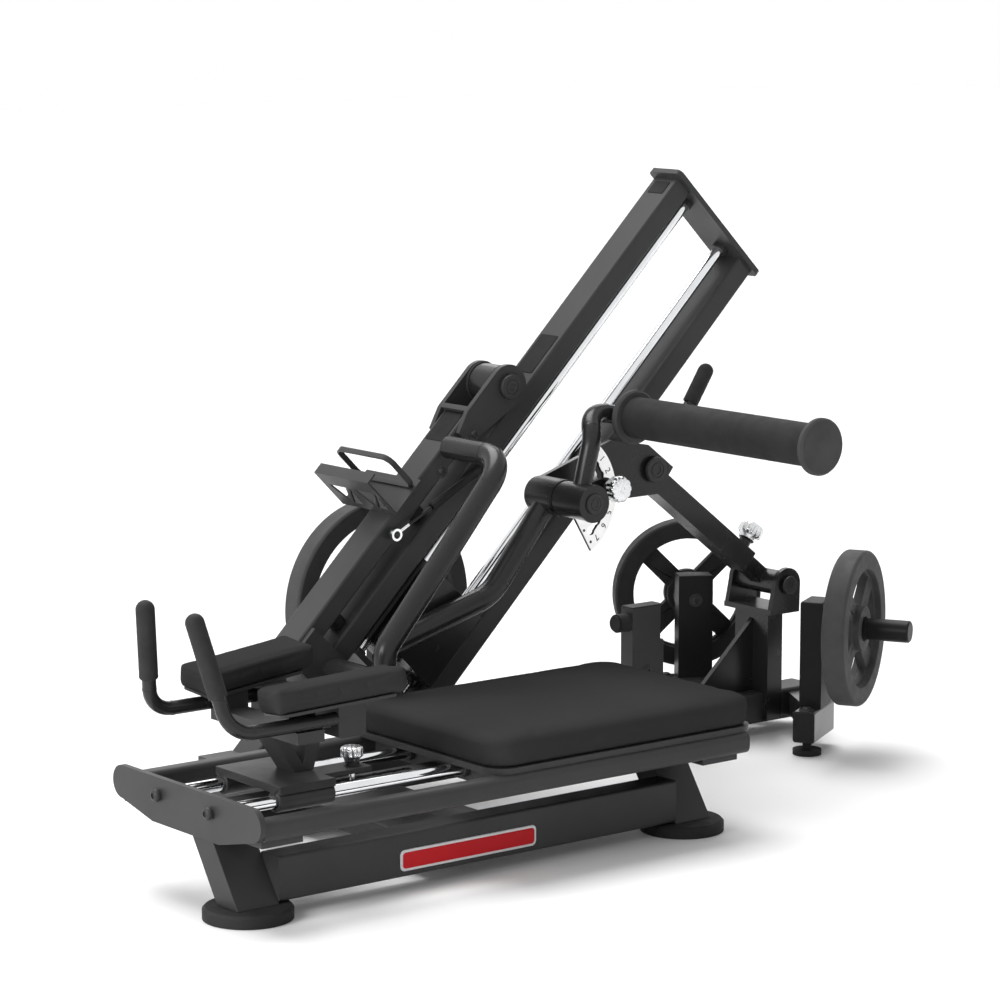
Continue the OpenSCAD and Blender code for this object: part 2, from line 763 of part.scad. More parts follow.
// Cross plate under the seat with the slotted bar that the carriage's pin runs in
module index_bar() color(steel) bench() {
    bar_w2 = 44;
    bar_top = slide_z - 8;
    inner = rail_span - rail_w;
    translate([cross_x, -inner / 2, rail_top - rail_h + 4]) cube([end_t, inner, rail_h - 4]);
    difference() {
        translate([bench_front + end_t, -bar_w2 / 2, bar_top - 10])
            cube([cross_x - bench_front - end_t, bar_w2, 10]);
        translate([pin_x - 60, -pin_d / 2 - 1, bar_top - 11]) cube([200, pin_d + 2, 12]);
        for (i = [0 : 5]) translate([pin_x - 50 + i * 36, 0, bar_top - 11]) cylinder(d = pin_d + 9, h = 12);
    }
}

// One slanting leg of the bench with its saddle plate between the rails
module bench_leg(x) color(steel) {
    reach = rail_span + rail_w - 2 * rail_r;
    top = bleg_splay;
    bench() translate([x - bleg_l / 2, -reach / 2, saddle_z]) cube([bleg_l, reach, saddle_t]);
    translate([x - bleg_l / 2, 0, 0]) rotate([90, 0, 90]) linear_extrude(bleg_l)
        polygon([[-bleg_w / 2, disc_h], [bleg_w / 2, disc_h], [top + bleg_w / 2, saddle_z + 1],
            [top - bleg_w / 2, saddle_z + 1]]);
}
module bench_leg_front() bench_leg(-disc_span);
module bench_leg_rear() bench_leg(0);

module disc_feet() color(rubber) for (x = [-disc_span, 0]) translate([x, 0, 0]) {
    cylinder(d = disc_d, h = disc_h - 5);
    translate([0, 0, disc_h - 5]) cylinder(d1 = disc_d, d2 = disc_d - 10, h = 5);
}

module low_rail() color(steel) translate([-disc_span + bleg_l / 2, low_y, low_z + low_h / 2])
    bar(disc_span - bleg_l, low_w, low_h, beam_r);

// Flat cross member that ties the bench to the tower's base beam
module cross_member() color(steel) translate([member_x + member_w / 2, low_y + low_w / 2,
    member_z + member_h / 2])
    rotate([0, 0, 90]) bar(tower_y - base_w / 2 - low_w / 2 - low_y, member_w, member_h, 4);

module seat_board() color(steel) bench() translate([seat_x + seat_l / 2, 0, board_z])
    linear_extrude(board_t)
    round_rect(seat_l - 2 * draw_in, seat_w - 2 * draw_in, seat_corner - draw_in);

module seat_pad() color(rubber) bench() translate([seat_x + seat_l / 2, 0, pad_z])
    cushion(seat_l, seat_w, seat_h, seat_corner);

// Carriage plate with its two sleeves on the bench's rods and the housing of its pin
module carriage() color(steel) bench() {
    span = slide_span + sleeve_d;
    difference() {
        union() {
            for (y = [-1, 1]) translate([carriage_x, y * slide_span / 2, slide_z]) rotate([0, 90, 0])
                cylinder(d = sleeve_d, h = carriage_l);
            translate([carriage_x, -span / 2, sleeve_top - 6]) cube([carriage_l, span, carriage_t + 6]);
            translate([carriage_x + carriage_l - 30, -tongue_w / 2, tongue_z])
                cube([carriage_end - carriage_x - carriage_l + 30, tongue_w, carriage_t]);
            translate([pin_x, 0, tongue_z + carriage_t]) lock_housing(6);
        }
        for (y = [-1, 1]) translate([carriage_x - 1, y * slide_span / 2, slide_z]) rotate([0, 90, 0])
            cylinder(d = slide_d + 2 * run, h = carriage_l + 2);
        translate([pin_x, 0, tongue_z - 1]) cylinder(d = pin_d + 2 * run, h = carriage_t + 20);
    }
}

// V bracket, cross tubes and tilted pad seats of the shoulder carriage
module pad_frame() color(steel) bench() {
    foot = sleeve_top + carriage_t;
    plate_xz(v_w / 2, v_w) {
        polygon([[v_x - v_t, foot], [v_x, foot], [yoke_front_x + 30 + v_t / 2, yoke_z],
            [yoke_front_x + 30 - v_t / 2, yoke_z]]);
        polygon([[v_x - v_t / 2, foot], [v_x + v_t / 2, foot],
            [yoke_rear_x + yoke_rear_l - v_t / 2, yoke_z],
            [yoke_rear_x + yoke_rear_l - v_t * 1.5, yoke_z]]);
    }
    translate([yoke_rear_x + yoke_rear_l / 2, -yoke_len / 2, yoke_z + yoke_h / 2]) rotate([0, 0, 90])
        bar(yoke_len, yoke_rear_l, yoke_h, beam_r);
    translate([yoke_front_x, -yoke_len / 2, yoke_z])
        cube([yoke_front_l, yoke_len, handle_z - handle_d / 2 - yoke_z]);
    for (y = [-1, 1]) {
        pad_rest(y, yoke_rear_x + beam_r, yoke_rear_l - 2 * beam_r, yoke_top - beam_r, yoke_len / 2);
        pad_rest(y, yoke_front_x, yoke_front_l, yoke_z + 1, handle_corner().y - handle_d / 2 - 4);
        pad_rest(y, yoke_front_x, yoke_front_l, handle_z + handle_d / 2 + 8, yoke_len / 2);
    }
}
// Block under one tilted pad, from height z to the pad, out to distance y1 from the bench's middle
module pad_rest(side, x, l, z, y1) difference() {
    translate([x, side > 0 ? pad_in : -y1, z]) cube([l, y1 - pad_in, yoke_top + 50 - z]);
    pad_place(side) translate([-pad_l, -pad_w, -rest]) cube([2 * pad_l, 2 * pad_w, 3 * pad_h]);
}
// Coordinates of one shoulder pad, on the middle of its underside
module pad_place(side) translate([pad_x, side * pad_y, yoke_top + 4 + pad_w / 2 * tan(pad_tilt) + rest])
    rotate([side * pad_tilt, -pad_pitch, side * pad_yaw]) children();

// One shoulder pad on its tilted seat
module shoulder_pad(side) color(rubber) bench() pad_place(side) cushion(pad_l, pad_w, pad_h, 24);
module shoulder_pad_near() shoulder_pad(-1);
module shoulder_pad_far() shoulder_pad(1);

// Lower and upper end of a grip on the far side of the bench's middle
function grip_foot() = grip_low + [0, handle_y - 15, 0];
function grip_end() = grip_foot() + unit(grip_lean) * grip_l;
function handle_corner() = grip_foot() - grip_lean * (grip_foot().z - handle_z) / grip_lean.z;

// One bent handle tube of the shoulder carriage
module handle(far) color(steel) bench() mirror([0, far ? 0 : 1, 0])
    bent_bar([[yoke_rear_x, handle_corner().y, handle_z],
        handle_corner(), grip_end() - unit(grip_lean) * 12],
        handle_d, handle_bend);
module handle_near() handle(false);
module handle_far() handle(true);

// One rubber grip over a handle's end
module grip(far) color(rubber) bench() mirror([0, far ? 0 : 1, 0]) difference() {
    union() {
        aim(grip_foot(), grip_end()) cylinder(d = grip_d, h = grip_l - grip_d / 2);
        aim(grip_foot(), grip_end()) translate([0, 0, grip_l - grip_d / 2]) sphere(d = grip_d);
    }
    aim(grip_foot(), grip_end()) translate([0, 0, -1]) cylinder(d = handle_d + run, h = grip_l - 11);
}
module grip_near() grip(false);
module grip_far() grip(true);

module carriage_pin() color(chrome) bench() translate([pin_x, 0, tongue_z + carriage_t])
    lock_pin(34, 6, 0.78);

// Sled between the beams: two bearings, block, side plates and a lug with an eye
module sled_block() color(steel) slope() difference() {
    union() {
        for (n = [rod_upper_n, rod_lower_n]) translate([sled_s, 0, n]) rotate([0, 90, 0])
            cylinder(d = bearing_d, h = sled_l);
        translate([sled_s + 10, -block_w / 2, rod_lower_n])
            cube([sled_l - 20, block_w, rod_upper_n - rod_lower_n]);
        for (y = [-1, 1]) translate([sled_s + 10, y > 0 ? block_w / 2 : -side_y, rod_lower_n - 16])
            cube([sled_l - 20, side_t, rod_upper_n - rod_lower_n + 32]);
        plate_xz(8, 16) {
            translate([sled_s + sled_l + 26, rod_mid_n + 30]) circle(20);
            translate([sled_s + sled_l - 11, rod_mid_n + 8]) square([38, 40]);
        }
    }
    for (n = [rod_upper_n, rod_lower_n]) translate([sled_s - 1, 0, n]) rotate([0, 90, 0])
        cylinder(d = rod_d + 2 * run, h = sled_l + 60);
    pin_y(sled_s + sled_l + 26, rod_mid_n + 30, -10, 10, 18);
}

module sled_horn() color(chrome) slope() {
    pin_y(sled_s + sled_horn_s, rod_mid_n, side_y, side_y + sled_collar, horn_d + 40);
    pin_y(sled_s + sled_horn_s, rod_mid_n, side_y + sled_collar, side_y + sled_horn_len, horn_d);
}

// Bent thrust arm with the hub and pin that carry the roller arm
module thrust_arm() color(steel) slope() {
    difference() {
        bent_bar([[sled_s + 2, thrust_y, rod_upper_n + 3], [sled_s + 240, thrust_y, rod_lower_n + 16],
            [hub_s, thrust_y, hub_n]], thrust_d, 110);
        translate([sled_s, -side_y, rod_lower_n - 60]) cube([700, 50, 300]);
        pin_y(hub_s, hub_n, dial_y - 50, dial_y + 200, hub_d);
    }
    pin_y(hub_s, hub_n, hub_far_y, dial_y, hub_d);
    pin_y(hub_s, hub_n, dial_y, roller_hub_y - roller_hub_len - rest, hub_pin_d);
    pin_y(hub_s, hub_n, roller_hub_y - roller_hub_len - rest, roller_hub_y - roller_hub_len - 6, hub_d);
}

// Numbered dial: a sector with a slot and a seat at each number
module dial_plate() color("#e9eaec") tower() plate_xz(dial_y, dial_t) translate([hub_x, hub_z]) {
    low = dial_top_angle - (dial_count - 1) * dial_step;
    difference() {
        union() {
            circle(hub_d / 2);
            intersection() {
                circle(dial_r);
                polygon([[0, 0], for (a = [low - 12, (low + dial_top_angle) / 2, dial_top_angle + 12])
                    2 * dial_r * [cos(a), sin(a)]]);
            }
        }
        circle(d = hub_pin_d);
        difference() {
            circle(seat_row_r + pin_d / 2 + 1);
            circle(seat_row_r - pin_d / 2 - 1);
            polygon([[0, 0], for (a = [dial_top_angle : 30 : low + 360]) 2 * dial_r * [cos(a), sin(a)],
                2 * dial_r * [cos(low), sin(low)]]);
        }
        for (i = [0 : dial_count - 1]) rotate(dial_top_angle - i * dial_step)
            translate([seat_row_r, 0]) circle(d = pin_d + 7);
    }
}

// Lug on the thrust arm's hub that carries the strut's upper pivot pin
module strut_lug() color(steel) tower() {
    plate_xz(hub_far_y + lug_t, lug_t) {
        translate([hub_x, hub_z]) circle(hub_d / 2 - 2);
        polygon([[hub_x, hub_z - hub_d / 2 + 4],
            strut_at(46, -head_h / 2 - 2), strut_at(46, head_h / 2 + 2),
            strut_at(-44, head_h / 2 + 2), [pivot_b_x - 120, pivot_b_z + 74],
                [hub_x, hub_z + hub_d / 2 - 4]]);
    }
    pin_y(pivot_b_x, pivot_b_z, hub_far_y, head_w / 2 + 6, strut_pin_d);
    pin_y(pivot_b_x, pivot_b_z, hub_far_y, hub_far_y - 8, strut_pin_d + 22);
}

// Roller arm: hub, bent tube, axle, lifting handle and the housing of the dial's pin
module roller_arm() color(steel) tower() difference() {
    mid = roller_hub_y - roller_hub_len / 2;
    pin_angle = dial_top_angle - (dial_now - 1) * dial_step;
    union() {
        pin_y(hub_x, hub_z, roller_hub_y, roller_hub_y - roller_hub_len, hub_d - 4);
        bent_bar([[hub_x, mid, hub_z], [hub_x + 36, mid, hub_z + 132],
            [roller_x - 98, axle_mid_y, roller_z + 18],
            [roller_x, axle_mid_y, roller_z]], arm_tube_d, 60);
        pin_y(roller_x, roller_z, axle_far_y, roller_far_y + rest, arm_tube_d);
        pin_y(roller_x, roller_z, roller_far_y + rest, roller_far_y - roller_len + flange_t / 2, axle_d);
        bent_bar([[roller_x, axle_mid_y, roller_z], lift_corner(), lift_top() - 6 * lift_dir()], 26, 50);
        translate([hub_x, roller_hub_y, hub_z]) rotate([0, -pin_angle, 0]) {
            translate([0, -10, -20]) cube([seat_row_r, 10, 40]);
            translate([seat_row_r, 0, 0]) rotate([90, 0, 0]) cylinder(d = 40, h = 10);
            translate([seat_row_r, -10, 0]) rotate([90, 0, 0]) lock_housing(16);
        }
    }
    pin_y(hub_x, hub_z, roller_hub_y + 5, roller_hub_y - roller_hub_len - 5, hub_pin_d + 2 * run);
    translate([hub_x, roller_hub_y, hub_z]) rotate([0, -pin_angle, 0]) translate([seat_row_r, 1, 0])
        rotate([90, 0, 0])
        cylinder(d = pin_d + 2 * run, h = 40);
}

// Corner, top and direction of the lifting handle's upright end
function lift_corner() = [roller_x + 148, axle_mid_y, roller_z - 47];
function lift_top() = [roller_x + 230, axle_mid_y, roller_z + 78];
function lift_dir() = unit(lift_top() - lift_corner());

// Rubber sleeve of the lifting handle
module lift_grip() color(rubber) tower() {
    start = lift_top() - lift_dir() * (lift_len - 17);
    difference() {
        union() {
            aim(start, lift_top()) cylinder(d = 34, h = lift_len - 17);
            aim(start, lift_top()) translate([0, 0, lift_len - 17]) sphere(d = 34);
        }
        aim(start, lift_top()) translate([0, 0, -1]) cylinder(d = 26 + run, h = lift_len - 21);
    }
}

// Foam of the roller between its end caps
module roller_foam() color(rubber) tower() difference() {
    pin_y(roller_x, roller_z, roller_far_y - flange_t, roller_far_y - roller_len + flange_t, roller_d);
    pin_y(roller_x, roller_z, 0, roller_far_y - roller_len, axle_d + 2 * run);
}

module roller_caps() color(rubber) tower() difference() {
    for (y = [roller_far_y, roller_far_y - roller_len + flange_t]) translate([roller_x, y, roller_z])
        rotate([90, 0, 0]) rotate_extrude() polygon([[0, 0], [flange_d / 2 - 4, 0], [flange_d / 2, 4],
            [flange_d / 2, flange_t - 4], [flange_d / 2 - 4, flange_t], [0, flange_t]]);
    pin_y(roller_x, roller_z, 0, roller_far_y - roller_len + flange_t / 2 - rest, axle_d + 2 * run);
}

module dial_pin() color(chrome) tower() translate([hub_x, roller_hub_y - 10, hub_z])
    rotate([0, -(dial_top_angle - (dial_now - 1) * dial_step), 0]) translate([seat_row_r, 0, 0])
        rotate([90, 0, 0])
        lock_pin(10 + dial_t, 16);

// Point beside the strut: u along it from the upper pivot, v square to it upwards
function strut_at(u, v) = [pivot_b_x - u * strut_dir.x + v * strut_dir.z,
    pivot_b_z - u * strut_dir.z - v * strut_dir.x];

// Coordinates of the strut: X from the given pivot towards the other one
module strut_from_b() tower() translate([pivot_b_x, 0, pivot_b_z]) rotate([0, 180 - strut_tilt, 0])
    children();
module strut_from_a() tower() translate([pivot_a_x, 0, pivot_a_z]) rotate([0, -strut_tilt, 0]) children();

// Outer tube of the strut with its hub and the housing of its pin
module strut_outer() color(steel) strut_from_b() difference() {
    union() {
        translate([-36, -head_w / 2, -head_h / 2]) cube([36 + head_l, head_w, head_h]);
        translate([12, -outer_w / 2, -outer_w / 2]) cube([outer_len - 12, outer_w, outer_w]);
        translate([lock_at, 0, outer_w / 2]) lock_housing(18);
    }
    rotate([90, 0, 0]) translate([0, 0, -100]) cylinder(d = strut_pin_d + 2 * run, h = 200);
    translate([32, -outer_w / 2 + strut_wall, -outer_w / 2 + strut_wall])
        cube([outer_len, outer_w - 2 * strut_wall, outer_w - 2 * strut_wall]);
    translate([lock_at, 0, 0]) cylinder(d = pin_d + 2 * run, h = outer_w);
}

// Inner tube of the strut with its hub and the slot that the pin runs in
module strut_inner() color(steel) strut_from_a() difference() {
    hub_half = clevis_in - rest;
    union() {
        rotate([90, 0, 0]) translate([0, 0, -hub_half]) cylinder(d = 56, h = 2 * hub_half);
        translate([16, -inner_w / 2, -inner_w / 2]) cube([inner_len - 16, inner_w, inner_w]);
    }
    rotate([90, 0, 0]) translate([0, 0, -100]) cylinder(d = strut_pin_d + 2 * run, h = 200);
    translate([40, -inner_w / 2 + strut_wall, -inner_w / 2 + strut_wall])
        cube([inner_len, inner_w - 2 * strut_wall, inner_w - 2 * strut_wall]);
    translate([strut_len - lock_at - 20, -pin_d / 2 - 4, -inner_w]) cube([72, pin_d + 8, inner_w]);
}

module strut_pin() color(chrome) strut_from_b() translate([lock_at, 0, outer_w / 2])
    lock_pin(outer_w / 2 - inner_w / 2 + 3, 18);

// Outline of the release arm's clevis cheek
module cheek_outline() {
    r = housing_d / 2 + 4;
    difference() {
        union() {
            translate([pivot_s, pivot_n]) circle(r);
            polygon([[arm_s1 - 60, arm_n], [pivot_s, pivot_n - r], [pivot_s, pivot_n + r],
                [arm_s1 - 12, pivot_n + r],
                [arm_s1 - 60, arm_top - 6]]);
        }
        translate([pivot_s, pivot_n]) circle(d = 24 + 2 * run);
    }
}

// Release arm: beam, clevis, lower bracket and the gas spring's stud
module release_arm() color(steel) slope() {
    translate([arm_s0, 0, arm_n + arm_t / 2]) bar(arm_s1 - arm_s0, 2 * cheek_y, arm_t, beam_r);
    for (y = [-cheek_y, cheek_y + cheek_t]) plate_xz(y, cheek_t) cheek_outline();
    translate([arm_s1 - 12, -cheek_y - 1, arm_n + 2])
        cube([12, 2 * cheek_y + 2, pivot_n + housing_d / 2 + 2 - arm_n]);
    translate([arm_s0, -cheek_y - cheek_t, bar_foot_n - bar_d / 2 - 3])
        cube([86, cheek_t - rest, bar_n - bar_foot_n + bar_d / 2 + 3]);
    translate([arm_s0, -cheek_y - cheek_t, arm_n + beam_r]) cube([86, cheek_t, arm_t - 2 * beam_r]);
    pin_y(gas_a_s, gas_a_n, -cheek_y, gas_y - 8, stud_d);
}

// Bent handle beside the release arm
module bent_handle() color(steel) slope() {
    y0 = -cheek_y - cheek_t;
    low = [arm_s0 + 100, -bar_y, bar_low_n];
    turn = low - bar_drop * [sin(incline), 0, cos(incline)];
    top = [gas_b_s - 19, -bar_y, bar_n + 8];
    bent_bar([[top.x, y0 + cheek_t, top.z], top, low, turn, [turn.x, y0, turn.z]], bar_d,
        [0, 68, 44, 44, 0]);
}

// Sheet-metal holder on the release arm: back, pierced floor with a lip, and a strap loop
module holder() color(steel) slope() {
    s0 = 196;
    y0 = -55;
    deep = arm_top + holder_deep;
    translate([s0, y0, arm_top]) cube([92, holder_w, sheet_t]);
    translate([s0, 0, 0]) rotate([90, 0, 90]) linear_extrude(sheet_t) difference() {
        translate([y0, arm_top]) square([holder_w, holder_deep]);
        for (y = [y0 + 14, y0 + holder_w / 2 + 6]) {
            polygon([[y, arm_top + 16], [y + 32, arm_top + 16], [y, arm_top + 66]]);
            polygon([[y + 44, arm_top + 18], [y + 70, arm_top + 68], [y + 12, arm_top + 68]]);
        }
    }
    translate([s0, y0, deep - sheet_t]) cube([26, holder_w, sheet_t]);
    translate([s0 + 66, y0 + holder_w / 2, arm_top + sheet_t - 1 + strap_deep / 2]) rotate([90, 0, 90])
        linear_extrude(strap_h) difference() {
            round_rect(holder_w, strap_deep, 24);
            round_rect(holder_w - 2 * strap_t, strap_deep - 2 * strap_t, 24 - strap_t);
        }
}

// Coordinates of the gas spring: X from its upper stud to its lower one
module gas() slope() translate([gas_b_s, gas_y, gas_b_n])
    rotate([0, -atan2(gas_a_n - gas_b_n, gas_a_s - gas_b_s), 0]) children();

module gas_barrel() color(rubber) gas() difference() {
    union() {
        rotate([90, 0, 0]) translate([0, 0, -6]) cylinder(d = stud_d + 12, h = 12);
        translate([9, 0, 0]) rotate([0, 90, 0]) cylinder(d = barrel_d, h = barrel_len - 9);
    }
    rotate([90, 0, 0]) translate([0, 0, -20]) cylinder(d = stud_d + 2 * run, h = 40);
    translate([30, 0, 0]) rotate([0, 90, 0]) cylinder(d = gas_rod_d + 2 * run, h = barrel_len);
}

module gas_rod() color(chrome) gas() difference() {
    reach = norm([gas_a_s - gas_b_s, gas_a_n - gas_b_n]);
    union() {
        translate([40, 0, 0]) rotate([0, 90, 0]) cylinder(d = gas_rod_d, h = reach - 50);
        translate([reach, 0, 0]) rotate([90, 0, 0]) translate([0, 0, -6]) cylinder(d = stud_d + 16, h = 12);
    }
    translate([reach, 0, 0]) rotate([90, 0, 0]) translate([0, 0, -20]) cylinder(d = stud_d + 6, h = 40);
}

module sled_weight() color(rubber) slope()
    translate([sled_s + sled_horn_s, side_y + sled_collar + rest, rod_mid_n])
    rotate([-90, 0, 0]) weight_plate(big_plate_d);

module stored_weight_near() color(rubber) storage(false)
    translate([upright_start + upright_d / 2, -leg_w / 2 - plate_out - rest, horn_z]) rotate([90, 0, 0])
        weight_plate(plate_d);
module stored_weight_far() color(rubber) storage(true)
    translate([upright_start + upright_d / 2, -leg_w / 2 - plate_out - rest, horn_z]) rotate([90, 0, 0])
        weight_plate(plate_d);

base_beam();
front_cross();
front_feet();
rear_leg_near();
rear_leg_far();
rear_feet();
upright_near();
upright_far();
strut_post();
stop_post();
upper_beam();
lower_beam();
tower_cap();
tower_rods();
rod_seat();
pivot_housing();
rubber_bumpers();
bench_end_plate();
rail_near();
rail_far();
bench_rods();
index_bar();
bench_leg_front();
bench_leg_rear();
disc_feet();
low_rail();
cross_member();
seat_board();
seat_pad();
carriage();
pad_frame();
shoulder_pad_near();
shoulder_pad_far();
handle_near();
handle_far();
grip_near();
grip_far();
carriage_pin();
sled_block();
sled_horn();
thrust_arm();
dial_plate();
strut_lug();
roller_arm();
lift_grip();
roller_foam();
roller_caps();
dial_pin();
strut_outer();
strut_inner();
strut_pin();
release_arm();
bent_handle();
holder();
gas_barrel();
gas_rod();
sled_weight();
stored_weight_near();
stored_weight_far();
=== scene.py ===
import math
import bpy
import bmesh
from mathutils import Matrix, Vector


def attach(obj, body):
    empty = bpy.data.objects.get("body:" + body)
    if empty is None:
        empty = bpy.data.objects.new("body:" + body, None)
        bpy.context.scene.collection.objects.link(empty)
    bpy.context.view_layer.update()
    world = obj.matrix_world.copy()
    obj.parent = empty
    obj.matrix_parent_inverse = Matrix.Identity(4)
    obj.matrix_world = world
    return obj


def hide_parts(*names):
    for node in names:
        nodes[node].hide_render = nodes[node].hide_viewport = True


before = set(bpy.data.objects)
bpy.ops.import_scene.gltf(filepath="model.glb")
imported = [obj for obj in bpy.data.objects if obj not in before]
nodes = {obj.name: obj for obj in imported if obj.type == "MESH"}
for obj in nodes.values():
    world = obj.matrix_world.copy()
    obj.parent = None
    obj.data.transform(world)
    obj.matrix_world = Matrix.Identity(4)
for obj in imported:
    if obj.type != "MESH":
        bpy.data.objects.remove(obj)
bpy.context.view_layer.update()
scene = bpy.context.scene
scene.view_settings.view_transform = "Standard"
print("frame loaded:", len(nodes), "nodes")

# shared places of the machine, in millimetres and degrees
# a name ending in S runs up the tower's slope, and one ending in N stands off it
layout = {"towerY": 570, "benchY": 118, "incline": 45, "splay": 30, "hubX": 48.08, "hubZ": 619.43,
          "dialFaceY": -134.0, "leverS": 578, "leverN": 632, "lugX": 360, "lugZ": 644, "clevisX": 741,
          "clevisZ": 349, "beamTopN": 590, "rodMiddleN": 437, "rodHalfN": 73, "benchRodY": 88,
          "benchRodZ": 200, "baseZ": 65, "storeX": 635, "storeY": -249, "uprightU": 86}
sides = {"Near": -1, "Far": 1}
inclineAngle, splayAngle = math.radians(layout["incline"]), math.radians(layout["splay"])


def mm(x, y, z):
    return Vector((x, y, z)) / 1000


def towerPoint(x, y, z):
    return mm(x, layout["towerY"] + y, z)


def slopePoint(s, n, y):
    along, rise = math.cos(inclineAngle), math.sin(inclineAngle)
    return towerPoint(s * along - n * rise, y, s * rise + n * along)


def hubPoint(y):
    return towerPoint(layout["hubX"], y, layout["hubZ"])


def leverPivot(y):
    return slopePoint(layout["leverS"], layout["leverN"], y)


def lugPoint(y):
    return towerPoint(layout["lugX"], y, layout["lugZ"])


def clevisPoint(y):
    return towerPoint(layout["clevisX"], y, layout["clevisZ"])


def benchRodPoint(x, side):
    return mm(x, layout["benchY"] + side * layout["benchRodY"], layout["benchRodZ"])


slopeUp = Vector((math.cos(inclineAngle), 0, math.sin(inclineAngle)))
slopeOut = Vector((-slopeUp.z, 0, slopeUp.x))
nearSide = Vector((0, -1, 0))
farSide = Vector((0, 1, 0))
rearward = Vector((1, 0, 0))
upward = Vector((0, 0, 1))


# finishes
finishNoise = {"cloudDetail": 5, "cloudSpan": (0.3, 0.72), "smearScale": 3, "smearDetail": 6,
               "smearSpan": (0.3, 0.7), "grainDetail": 3}


def buildFinish(name, look):
    mat = bpy.data.materials.new(name)
    mat.use_nodes = True
    tree = mat.node_tree
    shader = tree.nodes["Principled BSDF"]
    shader.inputs["Metallic"].default_value = look.get("metal", 0.0)
    shader.inputs["Specular IOR Level"].default_value = look.get("specular", 0.5)
    where = tree.nodes.new("ShaderNodeTexCoord")
    # broad cloudy variation of colour
    cloud = tree.nodes.new("ShaderNodeTexNoise")
    cloud.inputs["Scale"].default_value = look["cloud"]
    cloud.inputs["Detail"].default_value = finishNoise["cloudDetail"]
    tree.links.new(where.outputs["Object"], cloud.inputs["Vector"])
    ramp = tree.nodes.new("ShaderNodeValToRGB")
    for stop, place, shade in zip(ramp.color_ramp.elements, finishNoise["cloudSpan"], ("dark", "light")):
        stop.position = place
        stop.color = (*look[shade], 1)
    tree.links.new(cloud.outputs["Fac"], ramp.inputs["Fac"])
    colour = ramp.outputs["Color"]
    # another colour inside or outside a radius about a point of the machine
    for zone in look.get("zones", []):
        away = tree.nodes.new("ShaderNodeVectorMath")
        away.operation = "SUBTRACT"
        away.inputs[1].default_value = zone["at"]
        tree.links.new(where.outputs["Object"], away.inputs[0])
        flat = tree.nodes.new("ShaderNodeVectorMath")
        flat.operation = "MULTIPLY"
        flat.inputs[1].default_value = zone["weights"]
        tree.links.new(away.outputs["Vector"], flat.inputs[0])
        reach = tree.nodes.new("ShaderNodeVectorMath")
        reach.operation = "LENGTH"
        tree.links.new(flat.outputs["Vector"], reach.inputs[0])
        edge = tree.nodes.new("ShaderNodeMath")
        edge.operation = "LESS_THAN" if zone["inside"] else "GREATER_THAN"
        edge.inputs[1].default_value = zone["radius"]
        tree.links.new(reach.outputs["Value"], edge.inputs[0])
        pick = tree.nodes.new("ShaderNodeMix")
        pick.data_type = "RGBA"
        pick.inputs[7].default_value = (*zone["colour"], 1)  # sockets 6, 7 and 2 are the colour ones
        tree.links.new(edge.outputs["Value"], pick.inputs[0])
        tree.links.new(colour, pick.inputs[6])
        colour = pick.outputs[2]
    tree.links.new(colour, shader.inputs["Base Color"])
    # handling marks in the gloss
    smear = tree.nodes.new("ShaderNodeTexNoise")
    smear.inputs["Scale"].default_value = look["cloud"] * finishNoise["smearScale"]
    smear.inputs["Detail"].default_value = finishNoise["smearDetail"]
    tree.links.new(where.outputs["Object"], smear.inputs["Vector"])
    gloss = tree.nodes.new("ShaderNodeMapRange")
    gloss.inputs["From Min"].default_value, gloss.inputs["From Max"].default_value = finishNoise["smearSpan"]
    gloss.inputs["To Min"].default_value, gloss.inputs["To Max"].default_value = look["rough"]
    tree.links.new(smear.outputs["Fac"], gloss.inputs["Value"])
    tree.links.new(gloss.outputs["Result"], shader.inputs["Roughness"])
    # fine grain as bump
    if look.get("pebble"):
        grain = tree.nodes.new("ShaderNodeTexVoronoi")
        grain.feature = "DISTANCE_TO_EDGE"
        height = grain.outputs["Distance"]
    else:
        grain = tree.nodes.new("ShaderNodeTexNoise")
        grain.inputs["Detail"].default_value = finishNoise["grainDetail"]
        height = grain.outputs["Fac"]
    grain.inputs["Scale"].default_value = look["grain"]
    tree.links.new(where.outputs["Object"], grain.inputs["Vector"])
    bump = tree.nodes.new("ShaderNodeBump")
    bump.inputs["Strength"].default_value = look["bump"]
    bump.inputs["Distance"].default_value = look["depth"]
    tree.links.new(height, bump.inputs["Height"])
    tree.links.new(bump.outputs["Normal"], shader.inputs["Normal"])
    return mat


